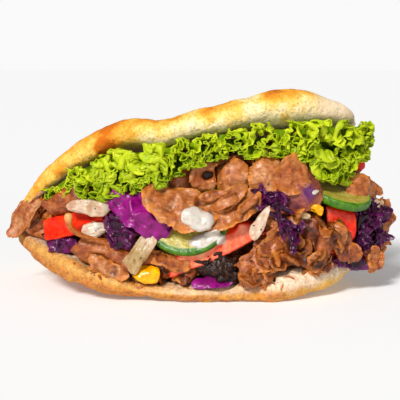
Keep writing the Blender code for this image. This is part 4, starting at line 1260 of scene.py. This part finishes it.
def frilled(root, long_mm, lean, lip, ceiling, floor, growth, seed):
    """Grows one leaf from its root line towards the front, between a ceiling and a floor line."""
    down = np.linspace(0, 1, LEAF_ROWS)[None, :] * np.ones((LEAF_COLUMNS, 1))
    line = np.stack([root[:, 0], 0 * root[:, 0], 0 * root[:, 0]], axis=1)
    ragged = 1 + 0.16 * lumps(line, 6, seed + 6)
    ragged += 0.12 * lumps(line, 1.1, seed + 7) + 0.1 * lumps(line, 0.45, seed + 8)
    step = (long_mm * ragged / (LEAF_ROWS - 1))[:, None]
    sheet = np.repeat(root[:, None, :], LEAF_ROWS, axis=1)
    sheet[:, :, 1] -= np.cumsum(np.cos(lean) * step * (down > 0), axis=1)
    sheet[:, :, 2] -= np.cumsum(np.sin(lean) * step * (down > 0), axis=1)
    flat = sheet.reshape(-1, 3)

    # How long each bit of the sheet has to become, along the root line and from root to margin.
    pucker = 1 + 0.7 * lumps(flat, 5.0, seed) + 0.3 * lumps(flat, 2.2, seed + 1)
    pucker = np.clip(pucker, 0.15, None).reshape(LEAF_COLUMNS, LEAF_ROWS)
    along = 1 + (growth * down**1.6 + FINE_GROWTH * down**7 + 0.1) * pucker
    across = 1 + (0.35 * down + 0.05) * pucker
    base = np.linalg.norm(sheet[1:] - sheet[:-1], axis=2)
    grown = base * 0.5 * (along[1:] + along[:-1])
    fall = np.linalg.norm(sheet[:, 1:] - sheet[:, :-1], axis=2) * 0.5 * (across[:, 1:] + across[:, :-1])

    # It starts with a slight wave and some unevenness, so that it knows which way to fold.
    wave = root[:, 0] / FRILL_WAVE_MM * 2 * np.pi + 2.5 * lumps(line, 15, seed + 9)
    kick = np.stack([lumps(flat, 3.0, seed + k) for k in (2, 3, 4)], axis=1).reshape(sheet.shape)
    sheet = sheet + kick * [0.8, 1.0, 1.4] * (down**0.8)[:, :, None]
    sheet[:, :, 2] += 4.5 * np.sin(wave)[:, None] * down
    fixed = sheet[:, :2].copy()
    stiff = int(LEAF_ROWS * FLOPPY_FROM)
    floor = floor + 1.3 * lumps(line, 5, seed + 10) + 0.7

    # Each round it grows, keeps its lengths, slants and stiffness, sinks a little and is held in its room.
    for turn in range(LEAF_ROUNDS):
        ramp = min(1.0, (turn + 1) / (0.7 * LEAF_ROUNDS))
        rest = base + (grown - base) * ramp
        keep_lengths(sheet, rest, 0.5)
        keep_lengths(sheet.swapaxes(0, 1), fall.T, 0.5)
        slant = np.sqrt((0.5 * (rest[:, 1:] + rest[:, :-1])) ** 2 + (0.5 * (fall[1:] + fall[:-1])) ** 2)
        for start in (0, 1):
            push(sheet[start:-1:2, :-1], sheet[start + 1 :: 2, 1:], slant[start::2], 0.25)
            push(sheet[start:-1:2, 1:], sheet[start + 1 :: 2, :-1], slant[start::2], 0.25)
        keep_lengths(sheet, rest, 0.3, 2, 0.9)
        keep_lengths(sheet.swapaxes(0, 1), fall.T, 0.3, 2, 0.93)
        for span, keep in ((4, 0.8), (8, 0.6)):
            keep_lengths(sheet[:, :stiff], rest[:, :stiff], 0.3, span, keep)
            keep_lengths(sheet.swapaxes(0, 1), fall.T, 0.3, span, keep)
        sheet[:, 2:, 2] -= 0.004
        sheet[:, :, 1] = np.maximum(sheet[:, :, 1], lip[:, None] - LEAF_FRONT_MM)
        roof = ceiling[:, None] + 2.8 * (sheet[:, :, 1] < lip[:, None] - 1)
        sheet[:, :, 2] = np.clip(sheet[:, :, 2], floor[:, None], roof)
        sheet[:, :, 0] = np.clip(sheet[:, :, 0], root[0, 0] - 2.5, root[-1, 0] + 2.5)
        sheet[:, :2] = fixed
    return sheet, down


lettuce, tree, shader = new_material("Lettuce leaf", Roughness=0.38, Specular_IOR_Level=0.3)
veined = uneven_surface(tree, Patch_Size=5.0, Grain_Height=0.25)
deep = blended(tree, veined["Patches"], paint(94, 136, 4), paint(150, 184, 10))
bright = blended(tree, veined["Patches"], paint(192, 214, 8), paint(236, 242, 44))
# Lighter and yellower towards the margin; layers that root lower are kept darker, which is painted shade.
green = blended(tree, read_mark(tree, "edge"), deep, bright)
finish_surface(tree, shader, green, veined["Height"], 0.5)
lit_through = put(tree, "BsdfTranslucent", {"Color": blended(tree, 0.4, green, paint(200, 230, 20))})
both = put(tree, "MixShader", {0: 0.34, 1: shader.outputs[0], 2: lit_through.outputs[0]})
tree.links.new(both.outputs[0], tree.nodes["Material Output"].inputs["Surface"])


def leaf_lower_line(node, stations):
    """The height of a CAD leaf's lower line at each station along X."""
    places = points_of(frame["nodes"][node].data)
    return np.array([places[np.abs(places[:, 0] - x) < 2.5, 2].min() for x in stations])


BREAD_RIGHT_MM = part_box("bread")[1].x / MM - 4.0  # beyond this the bread has no lip


def under_lip(stations):
    """The front of the upper bread's lip and the height of its underside there, at each station."""
    solid = hit_tree(frame["nodes"]["bread"].data)
    fronts = []
    heights = []
    for x in stations:
        x = min(x, BREAD_RIGHT_MM) * MM
        top = solid.ray_cast(Vector((x, 0, 0.2)), Vector((0, 0, -1)))[0].z / MM
        starts = [Vector((x, -0.2, (top + 8 - down) * MM)) for down in range(30)]
        hits = [solid.ray_cast(start, Vector((0, 1, 0)))[0] for start in starts]
        front = min(h.y for h in hits if h is not None) / MM
        below = Vector((x, (front + 7.0) * MM, (top - 25) * MM))
        fronts.append(front)
        heights.append(solid.ray_cast(below, Vector((0, 0, 1)))[0].z / MM)
    return np.array(fronts), np.array(heights)


RIGHT_END_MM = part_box("lettuce_5")[1].x / MM
for number in range(1, 6):
    node = f"lettuce_{number}"
    low, high = (np.array(c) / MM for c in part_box(node))
    stations = np.linspace(low[0] - 1.5, min(high[0] + 1.5, RIGHT_END_MM - 2), LEAF_COLUMNS)
    sparse = np.linspace(low[0] + 2.5, high[0] - 2.5, 12)
    lower = np.interp(stations, sparse, leaf_lower_line(node, sparse))
    lower += LIFTED_MM * step_up(stations, -18, -8) * (1 - step_up(stations, 42, 50))
    lower += END_LIFTED_MM * step_up(stations, RIGHT_END_MM - 18, RIGHT_END_MM - 12)
    front, under = (np.interp(stations, sparse, line) for line in under_lip(sparse))
    drop = under - lower
    tip = 1 - 0.45 * step_up(stations, RIGHT_END_MM - 12, RIGHT_END_MM)
    layers = LEAF_LAYERS | END_LAYERS if node == "lettuce_5" else LEAF_LAYERS
    for layer, (share, long_share, lean, growth) in layers.items():
        root_back = 6.0 + END_LAYERS_BACK_MM * (layer in END_LAYERS)
        root = np.stack([stations, front + root_back, under - 1.5 - share * drop], axis=1)
        long_mm = LEAF_LONG_MM * long_share * np.clip(drop / 15, 0.5, 1.3) * tip
        seed = 31 * number + len(layer)
        sheet, down = frilled(root, long_mm, lean, front, under + 0.5, lower, growth, seed)
        mesh = bpy.data.meshes.new(node)
        faces = sheet_faces(LEAF_COLUMNS, LEAF_ROWS)
        mesh.from_pydata((sheet.reshape(-1, 3) * MM).tolist(), [], faces.tolist())
        # The margin mark is scaled down on layers that root lower: painted shade of the layers beneath.
        mark(mesh, "edge", step_up(down.ravel(), 0.3, 1.0) * (1 - share))
        piece = show(f"{node}_{layer}_frills", mesh, lettuce, "lettuce", node)
        lighter = piece.modifiers.new("Fewer faces", "DECIMATE")
        lighter.ratio = LEAF_KEPT_FACES
        body = piece.modifiers.new("Leaf thickness", "SOLIDIFY")
        body.thickness = LEAF_THICK_MM * MM

# ---------------------------------------------------------------------------------------------------------
# Sauce. Thick white yoghurt sauce spooned over the filling. Each dab is a sheet let down from the front
# on whatever lies behind it, thick in its middle and running out thin and uneven at its edge.

SAUCE_DABS = [  # its middle along X and up, its width, height and thickness, all in mm, and its tilt
    (-2.4, 41.6, 16, 10.5, 0.7, -15),
    (2.4, 31.6, 17, 7, 0.5, 24),
    (9.5, 30.6, 5, 6, 0.5, -30),
    (54.2, 53.0, 4, 2.5, 0.3, 10),
    (-50.0, 36.5, 5, 3, 0.3, 0),
]
SAUCE_ROWS = 34
SAUCE_COLUMNS = 26
DRAW_ROUNDS = 6  # in these each place of the sheet comes forward to the foremost one beside it
EVEN_ROUNDS = 40  # and in these the sheet is evened
# How the names of the pieces start that lie under the sauce and the herbs.
UNDER_SAUCE = ("slice", "roll", "chunk", "flakes", "cucumber", "tomato", "onion", "cabbage", "heap")
IN_FRONT_MM = -80.0  # along Y, in front of all of the filling

sauce, tree, shader = new_material(
    "Yoghurt sauce", Roughness=0.22, Specular_IOR_Level=0.45, Subsurface_Weight=0.25, Subsurface_Scale=0.002
)
creamy = uneven_surface(tree, Patch_Size=3.0, Speck_Size=0.8, Speck_Share=0.35, Patch_Height=0.4)
white = blended(tree, creamy["Patches"], paint(184, 172, 158), paint(212, 204, 192))
herbed = over(tree, white, creamy["Specks"], 0.5, paint(128, 120, 70))
finish_surface(tree, shader, herbed, creamy["Height"], 0.6)


def foremost(solids, x, z, reach_mm):
    """The place and facing of what stands foremost at a place along X and up, or nothing."""
    start = Vector((x * MM, IN_FRONT_MM * MM, z * MM))
    hits = [s.ray_cast(start, Vector((0, 1, 0)), reach_mm * MM)[:2] for s in solids]
    hits = [h for h in hits if h[0] is not None]
    return min(hits, key=lambda h: h[0].y) if hits else None


filling = [o for o in bpy.context.scene.objects if o.name.startswith(UNDER_SAUCE)]
filling = [hit_tree(o.data) for o in filling if o.name not in frame["nodes"]]
parts = []
for number, (along, high, wide_mm, high_mm, thick_mm, tilt) in enumerate(SAUCE_DABS):
    far, turn = round_grid(SAUCE_ROWS, SAUCE_COLUMNS)
    ring = np.stack([np.cos(turn), np.sin(turn), 0 * turn], axis=1)
    reach = far * (1 + far * (0.3 * lumps(ring, 0.9, 700 + number) + 0.05 * lumps(ring, 0.4, 710 + number)))
    across = reach * np.cos(turn) * wide_mm / 2
    up = reach * np.sin(turn) * high_mm / 2
    lean = math.radians(tilt)
    x = along + across * math.cos(lean) - up * math.sin(lean)
    z = high + across * math.sin(lean) + up * math.cos(lean)
    hits = [foremost(filling, *place, 70) for place in zip(x, z)]
    depth = np.array([hit[0].y / MM if hit else np.nan for hit in hits])
    deepest = np.nanpercentile(depth, 70) + 0.5
    depth = np.where(np.isnan(depth), deepest, np.minimum(depth, deepest)).reshape(SAUCE_ROWS, SAUCE_COLUMNS)
    for turned in range(DRAW_ROUNDS + EVEN_ROUNDS):
        held = np.pad(depth, 1, "edge")
        sides = held[:-2, 1:-1], held[2:, 1:-1], held[1:-1, :-2], held[1:-1, 2:]
        if turned < DRAW_ROUNDS:
            depth = np.minimum.reduce((depth, *sides))
        else:
            depth = 0.5 * depth + 0.125 * sum(sides)
    depth = depth.ravel()
    uneven = 1 + 0.4 * lumps(np.stack([x, z, 0 * x], axis=1), 3, number)
    body = thick_mm * np.sqrt(np.clip(1 - far**5, 0, 1)) * uneven
    front = np.stack([x, depth - body + 0.2 + 1.2 * far**8, z], axis=1)
    back = np.stack([x, depth + 1.4, z], axis=1)
    faces = two_sided_faces(SAUCE_ROWS, SAUCE_COLUMNS)
    parts.append((np.concatenate([front, back]), faces, {"rim": np.concatenate([far, far])}))
show("sauce_dabs", joined("sauce_dabs", parts), sauce, None)

# ---------------------------------------------------------------------------------------------------------
# Crumbs and specks. Little bits of the shaved meat that fell on the lower bread, and flecks of dried herbs
# and pepper that stick to the meat and the salad.

CRUMB_COUNT = 26
SPECK_COUNT = 70
SPECK_THICK_MM = 0.25

rng = np.random.default_rng(77)
loaf = [hit_tree(bread)]
crumbs = []
while len(crumbs) < CRUMB_COUNT:
    found = foremost(loaf, rng.uniform(-74, 62), rng.uniform(7, 26), 75)
    if not found or found[1].z < 0.25:
        continue
    points, faces, marks = one_shred(
        rng, (1.6, 4.0), (1.0, 2.4), (0.5, 1.0), tones=(0.2, 0.7), cells=(11, 8), crumple_mm=0.3
    )
    hit, face_out = (np.array(f) for f in found)
    crumbs.append((stood(points, hit / MM, face_out, rng.normal(0, 1, 3)), faces, marks))
show("meat_crumbs", joined("meat_crumbs", crumbs), meat, "meat")

herb, tree, shader = new_material("Dried herbs", Roughness=0.6)
dry = uneven_surface(tree, Patch_Size=2.0)
dull = blended(tree, dry["Patches"], paint(24, 30, 8), paint(70, 60, 20))
tree.links.new(dull, shader.inputs["Base Color"])
specks = []
while len(specks) < SPECK_COUNT:
    found = foremost(filling, rng.uniform(-60, 66), rng.uniform(20, 60), 60)
    if not found:
        continue
    size = rng.uniform(0.5, 1.1)
    seed = int(rng.integers(1, 999))
    points, faces, far = shred(
        size, size * 0.7, SPECK_THICK_MM, curl=0.3, twist=0.2, seed=seed, rows=7, columns=6, crumple_mm=0.05
    )
    hit, face_out = (np.array(f) for f in found)
    place = hit / MM + face_out * 0.15
    specks.append((stood(points, place, face_out, rng.normal(0, 1, 3)), faces, {"rim": far}))
show("herb_specks", joined("herb_specks", specks), herb, None)

# ---------------------------------------------------------------------------------------------------------
# Table, lights and camera. A pale table under soft studio light: a key light from the front left, a wide
# fill light from the front right and a small one for sparkle, seen from a little above the table.

table_top = bpy.data.meshes.new("table_top")
table_top.from_pydata([(-4, -4, 0), (4, -4, 0), (4, 4, 0), (-4, 4, 0)], [], [(0, 1, 2, 3)])
# The table top glows faintly: painted light that keeps it white and brightens the sandwich's undersides from
# below.
table_paint, tree, shader = new_material(
    "Pale table",
    Roughness=0.8,
    Base_Color=(0.9, 0.9, 0.9, 1.0),
    Emission_Color=(1.0, 1.0, 1.0, 1.0),
    Emission_Strength=0.14,
)
table_top.materials.append(table_paint)
table = bpy.data.objects.new("table_top", table_top)
bpy.context.scene.collection.objects.link(table)

world = bpy.data.worlds.new("Studio")
world.use_nodes = True
around = world.node_tree
seen = put(around, "LightPath").outputs["Is Camera Ray"]
strength = put(around, "MapRange", {"Value": seen, "To Min": 0.24, "To Max": 0.95}).outputs[0]
background = around.nodes["Background"]
background.inputs["Color"].default_value = (1.0, 1.0, 1.0, 1.0)
around.links.new(strength, background.inputs["Strength"])
bpy.context.scene.world = world
bpy.context.scene.view_settings.view_transform = "Standard"

box_low, box_high = (Vector(c) for c in cad_box)
aim_at = Vector(((box_low.x + box_high.x) / 2, box_low.y + 0.043, 0.047))


def soft_light(name, place, degrees, power):
    """A far light aimed at the sandwich, as wide as its angle."""
    lamp = bpy.data.lights.new(name, "SUN")
    lamp.energy = power
    lamp.angle = math.radians(degrees)
    held = bpy.data.objects.new(name, lamp)
    held.location = place
    held.rotation_euler = (aim_at - Vector(place)).to_track_quat("-Z", "Y").to_euler()
    bpy.context.scene.collection.objects.link(held)


soft_light("Key light", (-0.4, -0.9, 0.74), 12, 3.0)
soft_light("Fill light", (0.5, -0.9, 0.1), 40, 0.75)
soft_light("Spark light", (-0.15, -0.5, 0.5), 4, 0.5)

lens = bpy.data.cameras.new("Camera")
lens.lens = 100
lens.sensor_width = 36
lens.shift_x = -0.00375
lens.shift_y = -0.01
camera = bpy.data.objects.new("Camera", lens)
elevation = math.radians(8)
distance = 0.56
camera.location = aim_at + distance * Vector((0, -math.cos(elevation), math.sin(elevation)))
camera.rotation_euler = (aim_at - camera.location).to_track_quat("-Z", "Y").to_euler()
bpy.context.scene.collection.objects.link(camera)
bpy.context.scene.camera = camera
